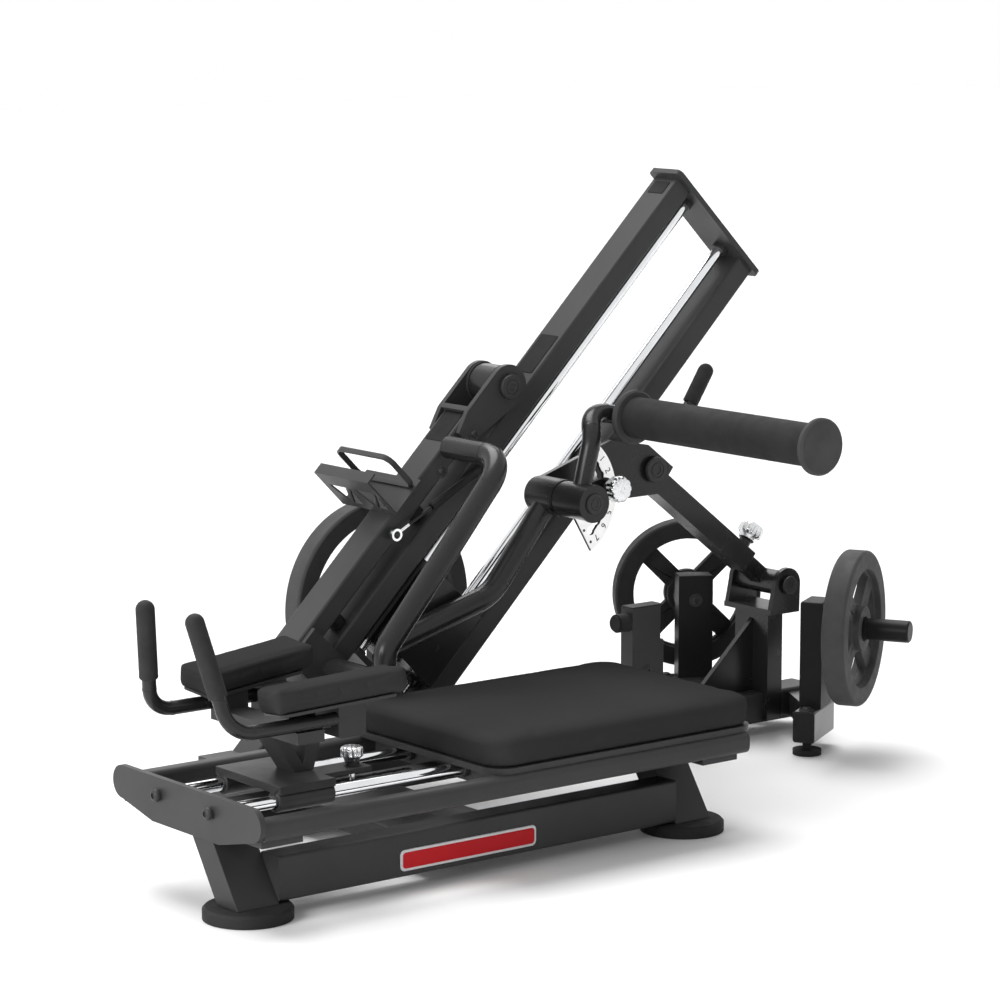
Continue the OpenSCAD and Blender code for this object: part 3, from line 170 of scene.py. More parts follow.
finishLooks = {
    "powderCoat": {"dark": (0.036, 0.036, 0.037), "light": (0.044, 0.044, 0.045), "cloud": 6,
                   "rough": (0.36, 0.45), "grain": 1400, "bump": 0.12, "depth": 0.0002, "specular": 0.18},
    "glossCoat": {"dark": (0.015, 0.015, 0.0155), "light": (0.020, 0.020, 0.0205), "cloud": 7,
                  "rough": (0.25, 0.28), "grain": 1400, "bump": 0.06, "depth": 0.0002, "specular": 0.28},
    # a darker copy of the powder coat: painted shade for the storage uprights
    "powderCoatPaintedShade": {"dark": (0.012, 0.012, 0.0125), "light": (0.017, 0.017, 0.0175), "cloud": 7,
                 "rough": (0.34, 0.42), "grain": 1400, "bump": 0.10, "depth": 0.0002, "specular": 0.10},
    "satinCoat": {"dark": (0.036, 0.036, 0.037), "light": (0.044, 0.044, 0.045), "cloud": 6,
                  "rough": (0.20, 0.27), "grain": 1400, "bump": 0.08, "depth": 0.0002, "specular": 0.60},
    "knobChrome": {"dark": (0.66, 0.67, 0.68), "light": (0.76, 0.77, 0.78), "cloud": 40,
                   "rough": (0.20, 0.30), "grain": 420, "bump": 0.02, "depth": 0.0002, "metal": 1.0},
    "chromePlate": {"dark": (0.74, 0.75, 0.77), "light": (0.84, 0.85, 0.86), "cloud": 14,
                    "rough": (0.05, 0.13), "grain": 420, "bump": 0.02, "depth": 0.0002, "metal": 1.0},
    "mouldedRubber": {"specular": 0.12, "dark": (0.022, 0.022, 0.022), "light": (0.032, 0.032, 0.032),
                      "cloud": 18, "rough": (0.62, 0.8), "grain": 900, "bump": 0.25, "depth": 0.0003},
    "gripRubber": {"specular": 0.12, "dark": (0.022, 0.022, 0.022), "light": (0.031, 0.031, 0.031),
                   "cloud": 30, "rough": (0.6, 0.75), "grain": 700, "bump": 0.3, "depth": 0.0003},
    "rollerFoam": {"specular": 0.12, "dark": (0.021, 0.021, 0.021), "light": (0.030, 0.030, 0.030),
                   "cloud": 12, "rough": (0.66, 0.82), "grain": 520, "bump": 0.3, "depth": 0.0005,
                   "pebble": True},
    "padVinyl": {"specular": 0.0, "dark": (0.033, 0.033, 0.0335), "light": (0.040, 0.040, 0.0405),
                 "cloud": 3, "rough": (0.48, 0.56), "grain": 700, "bump": 0.16, "depth": 0.0003,
                 "pebble": True},
    "plateRubber": {"specular": 0.12, "dark": (0.052, 0.052, 0.052), "light": (0.068, 0.068, 0.068),
                    "cloud": 16, "rough": (0.55, 0.72), "grain": 650, "bump": 0.3, "depth": 0.0005},
    # a darker copy of plateRubber: painted shade for the far stored plate
    "plateRubberPaintedShade": {"specular": 0.12, "dark": (0.020, 0.020, 0.020), "light": (0.027, 0.027, 0.027),
                  "cloud": 16, "rough": (0.55, 0.72), "grain": 650, "bump": 0.3, "depth": 0.0005},
    "dialWhite": {"metal": 0.8, "dark": (0.88, 0.88, 0.87), "light": (0.94, 0.94, 0.94), "cloud": 20,
                  "rough": (0.34, 0.44), "grain": 900, "bump": 0.06, "depth": 0.0002},
    "badgeRed": {"dark": (0.52, 0.006, 0.012), "light": (0.56, 0.008, 0.014), "cloud": 8,
                 "rough": (0.30, 0.36), "grain": 800, "bump": 0.03, "depth": 0.0002, "specular": 0.15},
    "badgePale": {"dark": (0.66, 0.66, 0.67), "light": (0.76, 0.76, 0.77), "cloud": 25,
                  "rough": (0.25, 0.36), "grain": 800, "bump": 0.05, "depth": 0.0002},
    "signDark": {"dark": (0.007, 0.007, 0.008), "light": (0.012, 0.012, 0.013), "cloud": 30,
                 "rough": (0.34, 0.44), "grain": 900, "bump": 0.02, "depth": 0.0002, "specular": 0.08},
    "inkBlack": {"dark": (0.006, 0.006, 0.006), "light": (0.012, 0.012, 0.012), "cloud": 60,
                 "rough": (0.45, 0.6), "grain": 900, "bump": 0.05, "depth": 0.0001},
    "capPlastic": {"dark": (0.012, 0.012, 0.012), "light": (0.018, 0.018, 0.018), "cloud": 40,
                   "rough": (0.42, 0.55), "specular": 0.15, "grain": 1100, "bump": 0.15, "depth": 0.0002},
    "springRod": {"dark": (0.74, 0.75, 0.77), "light": (0.84, 0.85, 0.86), "cloud": 14,
                  "rough": (0.1, 0.2), "grain": 420, "bump": 0.02, "depth": 0.0002, "metal": 1.0}}
# chrome only at the end of the spring's rod
finishLooks["springRod"]["zones"] = [
    {"at": slopePoint(166, 642, -54), "weights": (1, 1, 1), "radius": 0.038, "inside": False,
     "colour": (0.03, 0.03, 0.03)}]
# white only on the near face of the dial, and dark about its hub
finishLooks["dialWhite"]["zones"] = [
    {"at": hubPoint(layout["dialFaceY"]), "weights": (0, 1, 0), "radius": 0.0005, "inside": False,
     "colour": (0.030, 0.030, 0.031)},
    {"at": hubPoint(0), "weights": (1, 0, 1), "radius": 0.0465, "inside": True,
     "colour": (0.022, 0.022, 0.023)}]
finishes = {name: buildFinish(name, look) for name, look in finishLooks.items()}

finishUsers = {
    "chromePlate": ("tower_rods", "bench_rods", "carriage_pin", "dial_pin", "strut_pin", "sled_horn"),
    "mouldedRubber": ("front_feet", "rear_feet", "rubber_bumpers", "disc_feet"),
    "gripRubber": ("grip_near", "grip_far", "lift_grip"),
    "plateRubber": ("sled_weight", "stored_weight_near", "roller_caps"),
    # painted shade: the far stored plate takes the darker copy of the plate rubber
    "plateRubberPaintedShade": ("stored_weight_far",),
    "padVinyl": ("seat_pad", "shoulder_pad_near", "shoulder_pad_far"),
    "rollerFoam": ("roller_foam",),
    "glossCoat": ("bent_handle", "handle_near", "handle_far", "roller_arm", "pivot_housing", "strut_lug",
                  "sled_block", "thrust_arm", "strut_post", "strut_outer", "strut_inner"),
    # painted shade: the storage uprights take the darker copy of the powder coat
    "powderCoatPaintedShade": ("upright_near", "upright_far"),
    "satinCoat": ("rear_leg_near",),
    "dialWhite": ("dial_plate",),
    "capPlastic": ("gas_barrel",),
    "springRod": ("gas_rod",)}
finishOf = {name: "powderCoat" for name in nodes}
for finish, users in finishUsers.items():
    for name in users:
        finishOf[name] = finish

edgeSoftness = {"default": 0.0016, "sled_weight": 0.004, "stored_weight_near": 0.004,
                "stored_weight_far": 0.004, "dial_plate": 0.0008, "holder": 0.0008, "tower_rods": 0.0006,
                "bench_rods": 0.0006, "gas_rod": 0.0004, "gas_barrel": 0.0008, "roller_caps": 0.002,
                "strut_outer": 0.002, "strut_post": 0.0025}
edges = {"weld": 0.00002, "segments": 2, "angle": 38, "weight": 60}
for name, part in nodes.items():
    part.data.materials.clear()
    part.data.materials.append(finishes[finishOf[name]])
    weld = part.modifiers.new("weld", "WELD")
    weld.merge_threshold = edges["weld"]
    soften = part.modifiers.new("soften", "BEVEL")
    soften.width = edgeSoftness.get(name, edgeSoftness["default"])
    soften.segments = edges["segments"]
    soften.limit_method = "ANGLE"
    soften.angle_limit = math.radians(edges["angle"])
    soften.use_clamp_overlap = True
    soften.harden_normals = False
    even = part.modifiers.new("even", "WEIGHTED_NORMAL")
    even.keep_sharp = False
    even.weight = edges["weight"]
print("finishes on", len(nodes), "nodes")


# mesh helpers
meshing = {"turnedSharp": 34, "platedSharp": 30, "leastCorner": 0.0004, "axis": 1e-7, "cornerSteps": 8,
           "knobSides": 120, "ringSides": 56, "boltSides": 40, "screwSides": 24}


def addPiece(name, mesh, finish, body):
    piece = bpy.data.objects.new(name, mesh)
    scene.collection.objects.link(piece)
    mesh.materials.clear()
    mesh.materials.append(finishes[finish])
    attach(piece, body)
    return piece


def placing(origin, axis, side=None):
    # matrix whose Z runs along axis, and whose X leans to side
    z = Vector(axis).normalized()
    if side is None:
        side = (1, 0, 0) if abs(z.x) < 0.9 else (0, 1, 0)
    x = Vector(side)
    x = (x - z * x.dot(z)).normalized()
    y = z.cross(x)
    return Matrix(((x.x, y.x, z.x, origin[0]), (x.y, y.y, z.y, origin[1]), (x.z, y.z, z.z, origin[2]),
                   (0, 0, 0, 1)))


def joinRings(bm, rings):
    # faces between rings of the same count, closed at both ends
    for low, high in zip(rings, rings[1:]):
        for i in range(len(low)):
            j = (i + 1) % len(low)
            bm.faces.new((low[i], low[j], high[j], high[i]))
    bm.faces.new(list(reversed(rings[0])))
    bm.faces.new(rings[-1])


def smoothMesh(name, bm, place, sharp):
    bmesh.ops.recalc_face_normals(bm, faces=bm.faces)
    for face in bm.faces:
        face.smooth = True
    bm.transform(place)
    mesh = bpy.data.meshes.new(name)
    bm.to_mesh(mesh)
    bm.free()
    mesh.set_sharp_from_angle(angle=math.radians(sharp))
    return mesh


def turnedMesh(name, profile, place, count, wobble=None):
    # profile of (radius, height) turned about Z; wobble changes a radius by its angle
    bm = bmesh.new()
    rings = []
    for radius, height, *extra in profile:
        if radius <= meshing["axis"]:
            rings.append([bm.verts.new((0, 0, height))])
            continue
        ring = []
        for i in range(count):
            a = 2 * math.pi * i / count
            r = radius + (wobble(a) * extra[0] if wobble and extra else 0)
            ring.append(bm.verts.new((r * math.cos(a), r * math.sin(a), height)))
        rings.append(ring)
    for low, high in zip(rings, rings[1:]):
        for i in range(count):
            j = (i + 1) % count
            if len(low) == 1:
                bm.faces.new((low[0], high[j], high[i]))
            elif len(high) == 1:
                bm.faces.new((low[i], low[j], high[0]))
            else:
                bm.faces.new((low[i], low[j], high[j], high[i]))
    return smoothMesh(name, bm, place, meshing["turnedSharp"])


def roundOutline(w, h, r):
    steps = meshing["cornerSteps"]
    points = []
    for sx, sy, start in ((1, 1, 0), (-1, 1, 90), (-1, -1, 180), (1, -1, 270)):
        for k in range(steps + 1):
            a = math.radians(start + 90 * k / steps)
            points.append((sx * (w / 2 - r) + r * math.cos(a), sy * (h / 2 - r) + r * math.sin(a)))
    return points


def platedMesh(name, w, h, r, levels, place):
    # stack of rounded outlines, each level an (inset, height)
    bm = bmesh.new()
    rings = []
    for inset, height in levels:
        outline = roundOutline(w - 2 * inset, h - 2 * inset, max(r - inset, meshing["leastCorner"]))
        rings.append([bm.verts.new((x, y, height)) for x, y in outline])
    joinRings(bm, rings)
    return smoothMesh(name, bm, place, meshing["platedSharp"])


# cushions
padShapes = {
    "seatCushion": {"node": "seat_pad", "body": "frame", "length": 0.680, "width": 0.484, "height": 0.066,
                    "corner": 0.052, "soft": 0.017, "crown": 0.007, "voxel": 0.006, "cap": 0.006,
                    "centre": mm(-235, layout["benchY"], 225.3), "tilt": 0, "pitch": 0, "yaw": 0}}
shoulderPad = {"body": "carriage", "length": 0.282, "width": 0.095, "height": 0.050, "corner": 0.012,
               "soft": 0.006, "crown": 0.002, "voxel": 0.0034, "cap": 0.002, "pitch": -4,
               "board": {"size": (0.240, 0.084, 0.010), "shift": -0.008}}
shoulderPlace = {"x": -877, "aside": 144, "z": 385.13, "tilt": 7, "yaw": 8}
for label, side in sides.items():
    centre = mm(shoulderPlace["x"], layout["benchY"] + side * shoulderPlace["aside"], shoulderPlace["z"])
    padShapes["shoulderCushion" + label] = {
        **shoulderPad, "node": "shoulder_pad_" + label.lower(), "centre": centre,
        "tilt": side * shoulderPlace["tilt"], "yaw": side * shoulderPlace["yaw"]}


# tuck: (inset, share of the height) of the lower side
cushionForm = {"slack": 0.003, "tuck": [(0.006, 0.0), (0.002, 0.12), (0.0, 0.3), (0.0, 0.5)],
               "bendSteps": 6, "crownSteps": 8, "crownPower": 2.2}


def cushionStart(name, shape):
    slack, steps = cushionForm["slack"], cushionForm["crownSteps"]
    length, width = shape["length"] - 2 * slack, shape["width"] - 2 * slack
    height, soft, crown, corner = shape["height"] - slack, shape["soft"], shape["crown"], shape["corner"]
    levels = [(inset, height * part) for inset, part in cushionForm["tuck"]]
    top = height - crown - soft
    for k in range(cushionForm["bendSteps"] + 1):
        a = math.radians(90 * k / cushionForm["bendSteps"])
        levels.append((soft * (1 - math.cos(a)), top + soft * math.sin(a)))
    bm = bmesh.new()
    rings = []
    for inset, z in levels:
        outline = roundOutline(length - 2 * inset, width - 2 * inset, corner - inset)
        rings.append([bm.verts.new((x, y, z)) for x, y in outline])
    for k in range(1, steps):  # up to the crown in ever smaller rings
        f = 1 - k / steps
        outline = roundOutline((length - 2 * soft) * f, (width - 2 * soft) * f, (corner - soft) * f)
        z = height - crown * f ** cushionForm["crownPower"]
        rings.append([bm.verts.new((x, y, z)) for x, y in outline])
    joinRings(bm, rings)
    bmesh.ops.triangulate(bm, faces=[f for f in bm.faces if len(f.verts) > 4])
    bmesh.ops.recalc_face_normals(bm, faces=bm.faces)
    mesh = bpy.data.meshes.new(name)
    bm.to_mesh(mesh)
    bm.free()
    return mesh


swelling = {"pressure": 4, "quality": 4, "mass": 0.3, "steps": 20, "flat": 0.0004}


def swell(piece, cap, voxel):
    bpy.context.view_layer.objects.active = piece
    remesh = piece.modifiers.new("remesh", "REMESH")
    remesh.mode = "VOXEL"
    remesh.voxel_size = voxel
    bpy.ops.object.modifier_apply(modifier="remesh")
    start = [v.co.copy() for v in piece.data.vertices]
    cloth = piece.modifiers.new("cloth", "CLOTH")
    cloth.settings.use_pressure = True
    cloth.settings.uniform_pressure_force = swelling["pressure"]
    cloth.settings.quality = swelling["quality"]
    cloth.settings.mass = swelling["mass"]
    cloth.settings.effector_weights.gravity = 0
    cloth.collision_settings.use_collision = False
    cloth.point_cache.frame_start, cloth.point_cache.frame_end = 1, swelling["steps"]
    for step in range(1, swelling["steps"] + 1):
        scene.frame_set(step)
    bpy.ops.object.modifier_apply(modifier="cloth")
    scene.frame_set(1)
    for v, old in zip(piece.data.vertices, start):
        move = v.co - old
        if move.length > cap:
            move = move.normalized() * cap
        v.co = old + move
        if v.co.z < swelling["flat"]:
            v.co.z = 0.0


boardLevels = [(0.0005, -0.0062), (0, -0.0056), (0, -0.0010), (0.0005, -0.0004)]
for name, shape in padShapes.items():
    mesh = cushionStart(name, shape)
    piece = bpy.data.objects.new(name, mesh)
    scene.collection.objects.link(piece)
    swell(piece, shape["cap"], shape["voxel"])
    mesh = piece.data
    turn = Matrix.Translation(shape["centre"])
    for angle, axis in (("yaw", "Z"), ("pitch", "Y"), ("tilt", "X")):
        turn = turn @ Matrix.Rotation(math.radians(shape[angle]), 4, axis)
    mesh.transform(turn)
    if "board" in shape:  # thin steel plate that the pad is screwed to
        board = shape["board"]
        plate = platedMesh(name + "Board", *board["size"], boardLevels,
                           turn @ Matrix.Translation((board["shift"], 0, 0)))
        addPiece(name + "Board", plate, "powderCoat", shape["body"])
    for face in mesh.polygons:
        face.use_smooth = True
    refine = piece.modifiers.new("refine", "SUBSURF")
    refine.levels = refine.render_levels = 1
    mesh.materials.clear()
    mesh.materials.append(finishes["padVinyl"])
    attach(piece, shape["body"])
    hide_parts(shape["node"])
print("cushions done")

# knobs of the locking pins
knobShape = {"lobes": 10, "flute": 0.0030, "radius": 0.029, "height": 0.038, "pin": 0.006, "gap": 0.0003,
             "chamfer": 0.001, "dimple": 0.0008}
dialPin = {"angle": math.radians(9), "reach": 104, "face": -144.6}
strutPin = {"along": 0.375, "over": 0.025}
strutAlong = (clevisPoint(0) - lugPoint(0)).normalized()
strutOver = Vector((-strutAlong.z, 0, strutAlong.x))
strutPinAt = lugPoint(0) + strutAlong * strutPin["along"] + strutOver * strutPin["over"]
dialPinAt = towerPoint(layout["hubX"] + dialPin["reach"] * math.cos(dialPin["angle"]), dialPin["face"],
                       layout["hubZ"] + dialPin["reach"] * math.sin(dialPin["angle"]))
knobPlaces = {
    "dialKnob": {"node": "dial_pin", "body": "dial_lock", "axis": nearSide, "nose": 0.018,
                 "housing": 0.016, "share": 1, "at": dialPinAt},
    "strutKnob": {"node": "strut_pin", "body": "strut_lock", "axis": strutOver, "nose": 0.010,
                  "housing": 0.018, "share": 1, "at": strutPinAt},
    "carriageKnob": {"node": "carriage_pin", "body": "carriage_lock", "axis": upward,
                     "nose": 0.034, "housing": 0.006, "share": 0.78,
                     "at": mm(-735, layout["benchY"], 219)}}


def flutes(a):
    return -knobShape["flute"] * (0.5 - 0.5 * math.cos(knobShape["lobes"] * a)) ** 2


for name, spec in knobPlaces.items():
    r, h, pin = knobShape["radius"] * spec["share"], knobShape["height"] * spec["share"], knobShape["pin"]
    base, nose = spec["housing"] + knobShape["gap"], spec["nose"]
    chamfer, floor = knobShape["chamfer"], base + h - knobShape["dimple"]
    # (radius, height, share of the flute's depth), from the pin's nose up to the dimple in the top
    profile = [(0, -nose), (pin - chamfer, -nose), (pin, chamfer - nose), (pin, base), (r * 0.62, base),
               (r * 0.66, base + chamfer), (r * 0.70, base + h * 0.22), (r * 0.80, base + h * 0.30, 0.3),
               (r * 0.93, base + h * 0.36, 0.8), (r * 0.975, base + h * 0.42, 1.0),
               (r * 0.98, base + h * 0.78, 1.0), (r * 0.96, base + h * 0.88, 0.9),
               (r * 0.90, base + h * 0.96, 0.6), (r * 0.80, base + h, 0.2), (r * 0.24, base + h),
               (r * 0.22, floor), (r * 0.16, floor), (r * 0.14, base + h), (0, base + h)]
    mesh = turnedMesh(name, profile, placing(spec["at"], spec["axis"]), meshing["knobSides"], flutes)
    piece = addPiece(name, mesh, "knobChrome", spec["body"])
    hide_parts(spec["node"])
print("knobs done")

# bolts and pivot caps
capProfile = [(1.0, 0.0), (1.0, 0.16), (0.97, 0.22), (0.62, 0.24), (0.60, 0.20), (0.55, 0.20),
              (0.53, 0.25), (0.33, 0.27), (0.30, 0.20), (0.0, 0.20)]
domeProfile = [(1.0, 0.0), (1.0, 0.12), (0.95, 0.32), (0.84, 0.50), (0.66, 0.62), (0.46, 0.67),
               (0.42, 0.40), (0.0, 0.38)]
washerProfile = [(1.55, 0.0), (1.55, 0.10), (1.48, 0.15), (0.9, 0.15)]
largestWashered = 0.0122


def storagePoint(u, v, z, far=False):
    # u runs along a rear leg and v across it
    x = layout["storeX"] + u * math.cos(splayAngle) - v * math.sin(splayAngle)
    y = layout["storeY"] + u * math.sin(splayAngle) + v * math.cos(splayAngle)
    return towerPoint(x, -y if far else y, z)


caps = {
    "lugCap": ("sled", lugPoint(-62), nearSide, 0.0285, capProfile),
    "hubCap": ("sled", hubPoint(-230.6), nearSide, 0.022, capProfile),
    "armBoltUpper": ("release_lever", slopePoint(448, 632, -52), nearSide, 0.0095, domeProfile),
    "armBoltLower": ("release_lever", slopePoint(342, 634, -40), nearSide, 0.0095, domeProfile),
    "stopBolt": ("frame", towerPoint(376, -20, 190), nearSide, 0.0085, domeProfile),
    "stopBoltFar": ("frame", towerPoint(376, 20, 190), farSide, 0.0085, domeProfile)}
for label, side in sides.items():
    hornIn = Vector((-math.sin(splayAngle), -side * math.cos(splayAngle), 0))
    hornBoltAt = storagePoint(layout["uprightU"], 25, 280, side > 0)
    legBoltAt = storagePoint(22, 0, 100, side > 0)
    caps["pivotCap" + label] = ("frame", leverPivot(side * 58.3), side * farSide, 0.0262, capProfile)
    caps["strutCap" + label] = ("frame", clevisPoint(side * 84), side * farSide, 0.021, capProfile)
    caps["hornBolt" + label] = ("frame", hornBoltAt, hornIn, 0.010, domeProfile)
    caps["legBolt" + label] = ("frame", legBoltAt, upward, 0.011, domeProfile)
    caps["endPlateBolt" + label] = ("frame", benchRodPoint(-1121, side), -rearward, 0.0125, domeProfile)
rodLevels = [layout["rodMiddleN"] + layout["rodHalfN"], layout["rodMiddleN"] - layout["rodHalfN"]]
for k, n in enumerate(rodLevels):
    caps["towerCapBolt%d" % k] = ("frame", slopePoint(1222, n, 0), slopeUp, 0.011, domeProfile)
for name, (body, at, axis, radius, shape) in caps.items():
    profile = [(r * radius, h * radius) for r, h in shape]
    mesh = turnedMesh(name, profile, placing(at, axis), meshing["boltSides"])
    addPiece(name, mesh, "powderCoat", body)
    if shape is domeProfile and radius < largestWashered:
        rim = [(r * radius, h * radius) for r, h in washerProfile]
        mesh = turnedMesh(name + "Washer", rim, placing(at, axis), meshing["boltSides"])
        addPiece(name + "Washer", mesh, "powderCoat", body)
print("bolts done:", len(caps))

# rubber rings at both ends of the lever's pivot housing
ringProfile = [(0.041, 0.0), (0.0438, 0.0), (0.0445, 0.001), (0.0445, 0.006), (0.0438, 0.007),
               (0.041, 0.007)]
for label, side in sides.items():
    place = placing(leverPivot(side * 39.8), -side * farSide)
    mesh = turnedMesh("pivotRing" + label, ringProfile, place, meshing["ringSides"])
    addPiece("pivotRing" + label, mesh, "mouldedRubber", "frame")

# collars where the guide rods meet their plates
collarProfile = [(0.0127, 0.0), (0.0165, 0.0), (0.0172, 0.001), (0.0172, 0.011), (0.0165, 0.012),
                 (0.0127, 0.012)]
collars = {}
for k, n in enumerate(rodLevels):
    collars["rodCollarTop%d" % k] = (slopePoint(1210, n, 0), -slopeUp)
    collars["rodCollarLow%d" % k] = (slopePoint(-56, n, 0), slopeUp)
for k, side in enumerate(sides.values()):
    collars["benchCollarFront%d" % k] = (benchRodPoint(-1103, side), rearward)
    collars["benchCollarRear%d" % k] = (benchRodPoint(-530, side), -rearward)
for name, (at, axis) in collars.items():
    mesh = turnedMesh(name, collarProfile, placing(at, axis), meshing["boltSides"])
    addPiece(name, mesh, "powderCoat", "frame")
print("collars done")

# dial numbers
dialMarks = {"radius": 0.1255, "size": 0.020, "first": 37, "step": 14, "count": 7, "proud": 0.2,
             "thick": 0.00025}
for k in range(dialMarks["count"]):
    angle = math.radians(dialMarks["first"] - k * dialMarks["step"])
    outward = Vector((math.cos(angle), 0, math.sin(angle)))
    words = bpy.data.curves.new("digit", "FONT")
    words.body = str(k + 1)
    words.size = dialMarks["size"]
    words.align_x, words.align_y = "CENTER", "CENTER"
    words.extrude = dialMarks["thick"]
    shown = bpy.data.objects.new("digit", words)
    scene.collection.objects.link(shown)
    mesh = bpy.data.meshes.new_from_object(shown.evaluated_get(bpy.context.evaluated_depsgraph_get()))
    bpy.data.objects.remove(shown)
    right = outward.cross(nearSide)
    at = hubPoint(layout["dialFaceY"] - dialMarks["proud"]) + outward * dialMarks["radius"]
    mesh.transform(placing(at, nearSide, right))
    addPiece("dialDigit%d" % (k + 1), mesh, "inkBlack", "sled")
dialScrews = {"angle": -55, "radii": (0.090, 0.122), "size": 0.0032, "rise": 0.0008}
angle = math.radians(dialScrews["angle"])
profile = [(r * dialScrews["size"], h * dialScrews["rise"]) for r, h in domeProfile]
for k, reach in enumerate(dialScrews["radii"]):
    at = hubPoint(layout["dialFaceY"]) + Vector((math.cos(angle), 0, math.sin(angle))) * reach
    mesh = turnedMesh("dialScrew%d" % k, profile, placing(at, nearSide), meshing["screwSides"])
    addPiece("dialScrew%d" % k, mesh, "inkBlack", "sled")
print("dial numbered")

# plain plates and end plugs
plates = {
    "railPlateBorder": {"at": mm(-571, -35.0, 60.5), "axis": nearSide, "side": rearward,
                        "size": (0.327, 0.041, 0.010), "levels": [(0, 0), (0, 0.0016), (0.0008, 0.0024)],
                        "finish": "badgePale", "body": "frame"},
    "railPlateField": {"at": mm(-571, -37.2, 60.5), "axis": nearSide, "side": rearward,
                       "size": (0.317, 0.031, 0.007), "levels": [(0, 0), (0, 0.0008), (0.001, 0.0014)],
                       "finish": "badgeRed", "body": "frame"}}
signLevels = [(0, 0), (0, 0.0006), (0.0006, 0.0011)]
signs = {
    "armPlate": (slopePoint(432, 669, 0), (0.062, 0.082, 0.004), "release_lever"),
    "beamPlate": (slopePoint(700, layout["beamTopN"], 0), (0.058, 0.105, 0.004), "frame"),
    "topPlate": (slopePoint(1180, layout["beamTopN"], 0), (0.050, 0.034, 0.003), "frame")}
for name, (at, size, body) in signs.items():
    plates[name] = {"at": at, "axis": slopeOut, "side": farSide, "size": size, "levels": signLevels,
                    "finish": "signDark", "body": body}
railCapLevels = [(0.0004, 0), (0.0004, 0.002), (0.002, 0.0036), (0.006, 0.0042)]
plugLevels = [(0.0004, 0), (0.0004, 0.0014), (0.0018, 0.0026), (0.006, 0.003)]
plugs = {
    "basePlug": (towerPoint(862, 0, layout["baseZ"]), rearward, farSide, (0.080, 0.070, 0.008), plugLevels),
    "stopPlug": (towerPoint(378, 0, 332), upward, rearward, (0.090, 0.040, 0.004), plugLevels)}
for label, side in sides.items():
    legAlong = Vector((math.cos(splayAngle), -side * math.sin(splayAngle), 0))
    railEnd = mm(65, layout["benchY"] + side * 226, 192)
    crossEnd = towerPoint(-715, side * 165, layout["baseZ"])
    legEnd = storagePoint(0, 0, layout["baseZ"], side > 0)
    uprightTop = storagePoint(layout["uprightU"], 0, 335, side > 0)
    plugs["railCap" + label] = (railEnd, rearward, farSide, (0.040, 0.042, 0.014), railCapLevels)
    plugs["crossPlug" + label] = (crossEnd, side * farSide, rearward, (0.100, 0.070, 0.008), plugLevels)
    plugs["legPlug" + label] = (legEnd, -legAlong, upward, (0.070, 0.050, 0.008), plugLevels)
    plugs["uprightPlug" + label] = (uprightTop, upward, legAlong, (0.080, 0.050, 0.004), plugLevels)
for name, (at, axis, side, size, levels) in plugs.items():
    plates[name] = {"at": at, "axis": axis, "side": side, "size": size, "levels": levels,
                    "finish": "capPlastic", "body": "frame"}
for name, spec in plates.items():
    w, h, r = spec["size"]
    mesh = platedMesh(name, w, h, r, spec["levels"], placing(spec["at"], spec["axis"], spec["side"]))
    addPiece(name, mesh, spec["finish"], spec["body"])
print("plates done")

# studio
stage = {"floor": (0.90, 0.90, 0.90), "rough": 0.9, "specular": 0.1, "reach": 30, "drop": -0.0006,
         "glow": 0.04, "skyLow": 0.16, "skyHigh": 0.50}
lamps = {
    "sun": {"power": 3.1, "spread": 45, "aim": (-0.12, -0.72, -1.7)},
    "fillLamp": {"at": (-4.6, -0.2, 1.8), "toward": (-0.2, 0.4, 0.5), "size": (2.4, 2.0), "power": 130},
    "backLamp": {"at": (2.6, 3.4, 3.2), "toward": (0.0, 0.5, 0.6), "size": (2.4, 2.0), "power": 24}}


def seenDirectly(tree):
    # 1 for rays from the camera and for those off shiny or through clear things
    path = tree.nodes.new("ShaderNodeLightPath")
    direct = path.outputs["Is Camera Ray"]
    for ray in ("Is Glossy Ray", "Is Transmission Ray"):
        either = tree.nodes.new("ShaderNodeMath")
        either.operation = "MAXIMUM"
        tree.links.new(direct, either.inputs[0])
        tree.links.new(path.outputs[ray], either.inputs[1])
        direct = either.outputs[0]
    return direct


floorMesh = bpy.data.meshes.new("studioFloor")
floorCorners = [(x * stage["reach"], y * stage["reach"], stage["drop"])
                for x, y in ((-1, -1), (1, -1), (1, 1), (-1, 1))]
floorMesh.from_pydata(floorCorners, [], [(0, 1, 2, 3)])
studioFloor = bpy.data.objects.new("studioFloor", floorMesh)
scene.collection.objects.link(studioFloor)
floorMat = bpy.data.materials.new("studioPaper")
floorMat.use_nodes = True
tree = floorMat.node_tree
paper = tree.nodes["Principled BSDF"]
paper.inputs["Base Color"].default_value = (*stage["floor"], 1)
paper.inputs["Roughness"].default_value = stage["rough"]
paper.inputs["Specular IOR Level"].default_value = stage["specular"]
shine = tree.nodes.new("ShaderNodeEmission")
shine.inputs["Strength"].default_value = 1.0
share = tree.nodes.new("ShaderNodeMath")
share.operation = "MULTIPLY"
share.inputs[1].default_value = stage["glow"]
tree.links.new(seenDirectly(tree), share.inputs[0])
blend = tree.nodes.new("ShaderNodeMixShader")
tree.links.new(share.outputs[0], blend.inputs["Fac"])
tree.links.new(paper.outputs["BSDF"], blend.inputs[1])
tree.links.new(shine.outputs["Emission"], blend.inputs[2])
tree.links.new(blend.outputs["Shader"], tree.nodes["Material Output"].inputs["Surface"])
floorMesh.materials.append(floorMat)

world = bpy.data.worlds.new("studio")
scene.world = world
world.use_nodes = True
tree = world.node_tree
sky = tree.nodes["Background"]
sky.inputs["Color"].default_value = (1, 1, 1, 1)
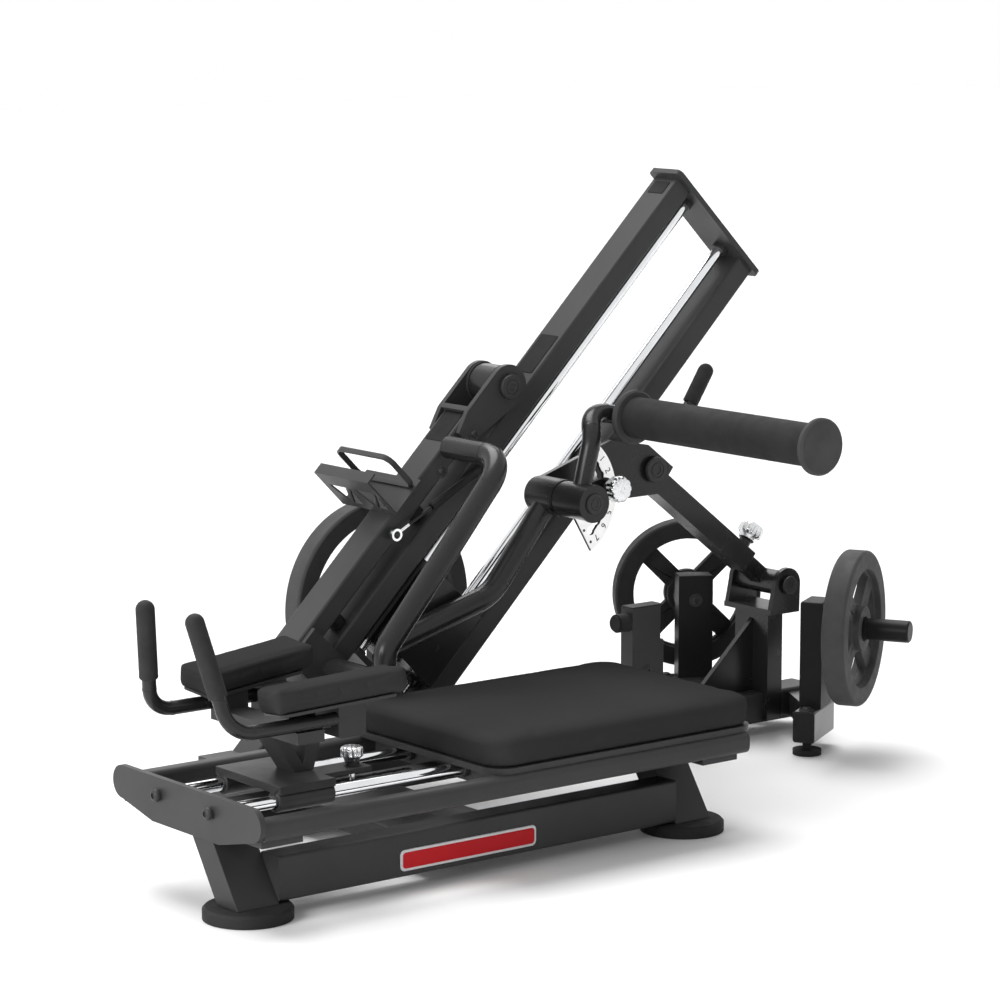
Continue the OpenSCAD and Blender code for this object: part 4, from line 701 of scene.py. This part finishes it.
# brighter overhead than at the horizon, and white to the camera
look = tree.nodes.new("ShaderNodeTexCoord")
split = tree.nodes.new("ShaderNodeSeparateXYZ")
tree.links.new(look.outputs["Generated"], split.inputs["Vector"])
height = tree.nodes.new("ShaderNodeMapRange")
height.inputs["From Min"].default_value = 0.0
height.inputs["From Max"].default_value = 1.0
height.inputs["To Min"].default_value = stage["skyLow"]
height.inputs["To Max"].default_value = stage["skyHigh"]
tree.links.new(split.outputs["Z"], height.inputs["Value"])
level = tree.nodes.new("ShaderNodeMix")
level.inputs[3].default_value = 1.0  # sockets 2, 3 and 0 are the plain number ones
tree.links.new(seenDirectly(tree), level.inputs[0])
tree.links.new(height.outputs["Result"], level.inputs[2])
tree.links.new(level.outputs[0], sky.inputs["Strength"])


def addLamp(name, at, toward, size, power):
    lamp = bpy.data.lights.new(name, "AREA")
    lamp.shape = "RECTANGLE"
    lamp.size, lamp.size_y = size
    lamp.energy = power
    holder = bpy.data.objects.new(name, lamp)
    holder.location = at
    holder.rotation_euler = (Vector(toward) - Vector(at)).to_track_quat("-Z", "Y").to_euler()
    scene.collection.objects.link(holder)


sunData = bpy.data.lights.new("sunLamp", "SUN")
sunData.energy = lamps["sun"]["power"]
sunData.angle = math.radians(lamps["sun"]["spread"])
sunLamp = bpy.data.objects.new("sunLamp", sunData)
sunLamp.rotation_euler = Vector(lamps["sun"]["aim"]).to_track_quat("-Z", "Y").to_euler()
scene.collection.objects.link(sunLamp)
for name in ("fillLamp", "backLamp"):
    addLamp(name, **lamps[name])

shot = {"at": (-4.477, -5.118, 1.740), "heading": 51.927, "pitch": 8.917, "lens": 124.0,
        "sensor": 36}
cameraData = bpy.data.cameras.new("photoCamera")
cameraData.sensor_width = shot["sensor"]
cameraData.lens = shot["lens"]
camera = bpy.data.objects.new("photoCamera", cameraData)
camera.location = shot["at"]
camera.rotation_euler = (math.radians(90 - shot["pitch"]), 0, math.radians(shot["heading"] - 90))
scene.collection.objects.link(camera)
scene.camera = camera
print("studio done")
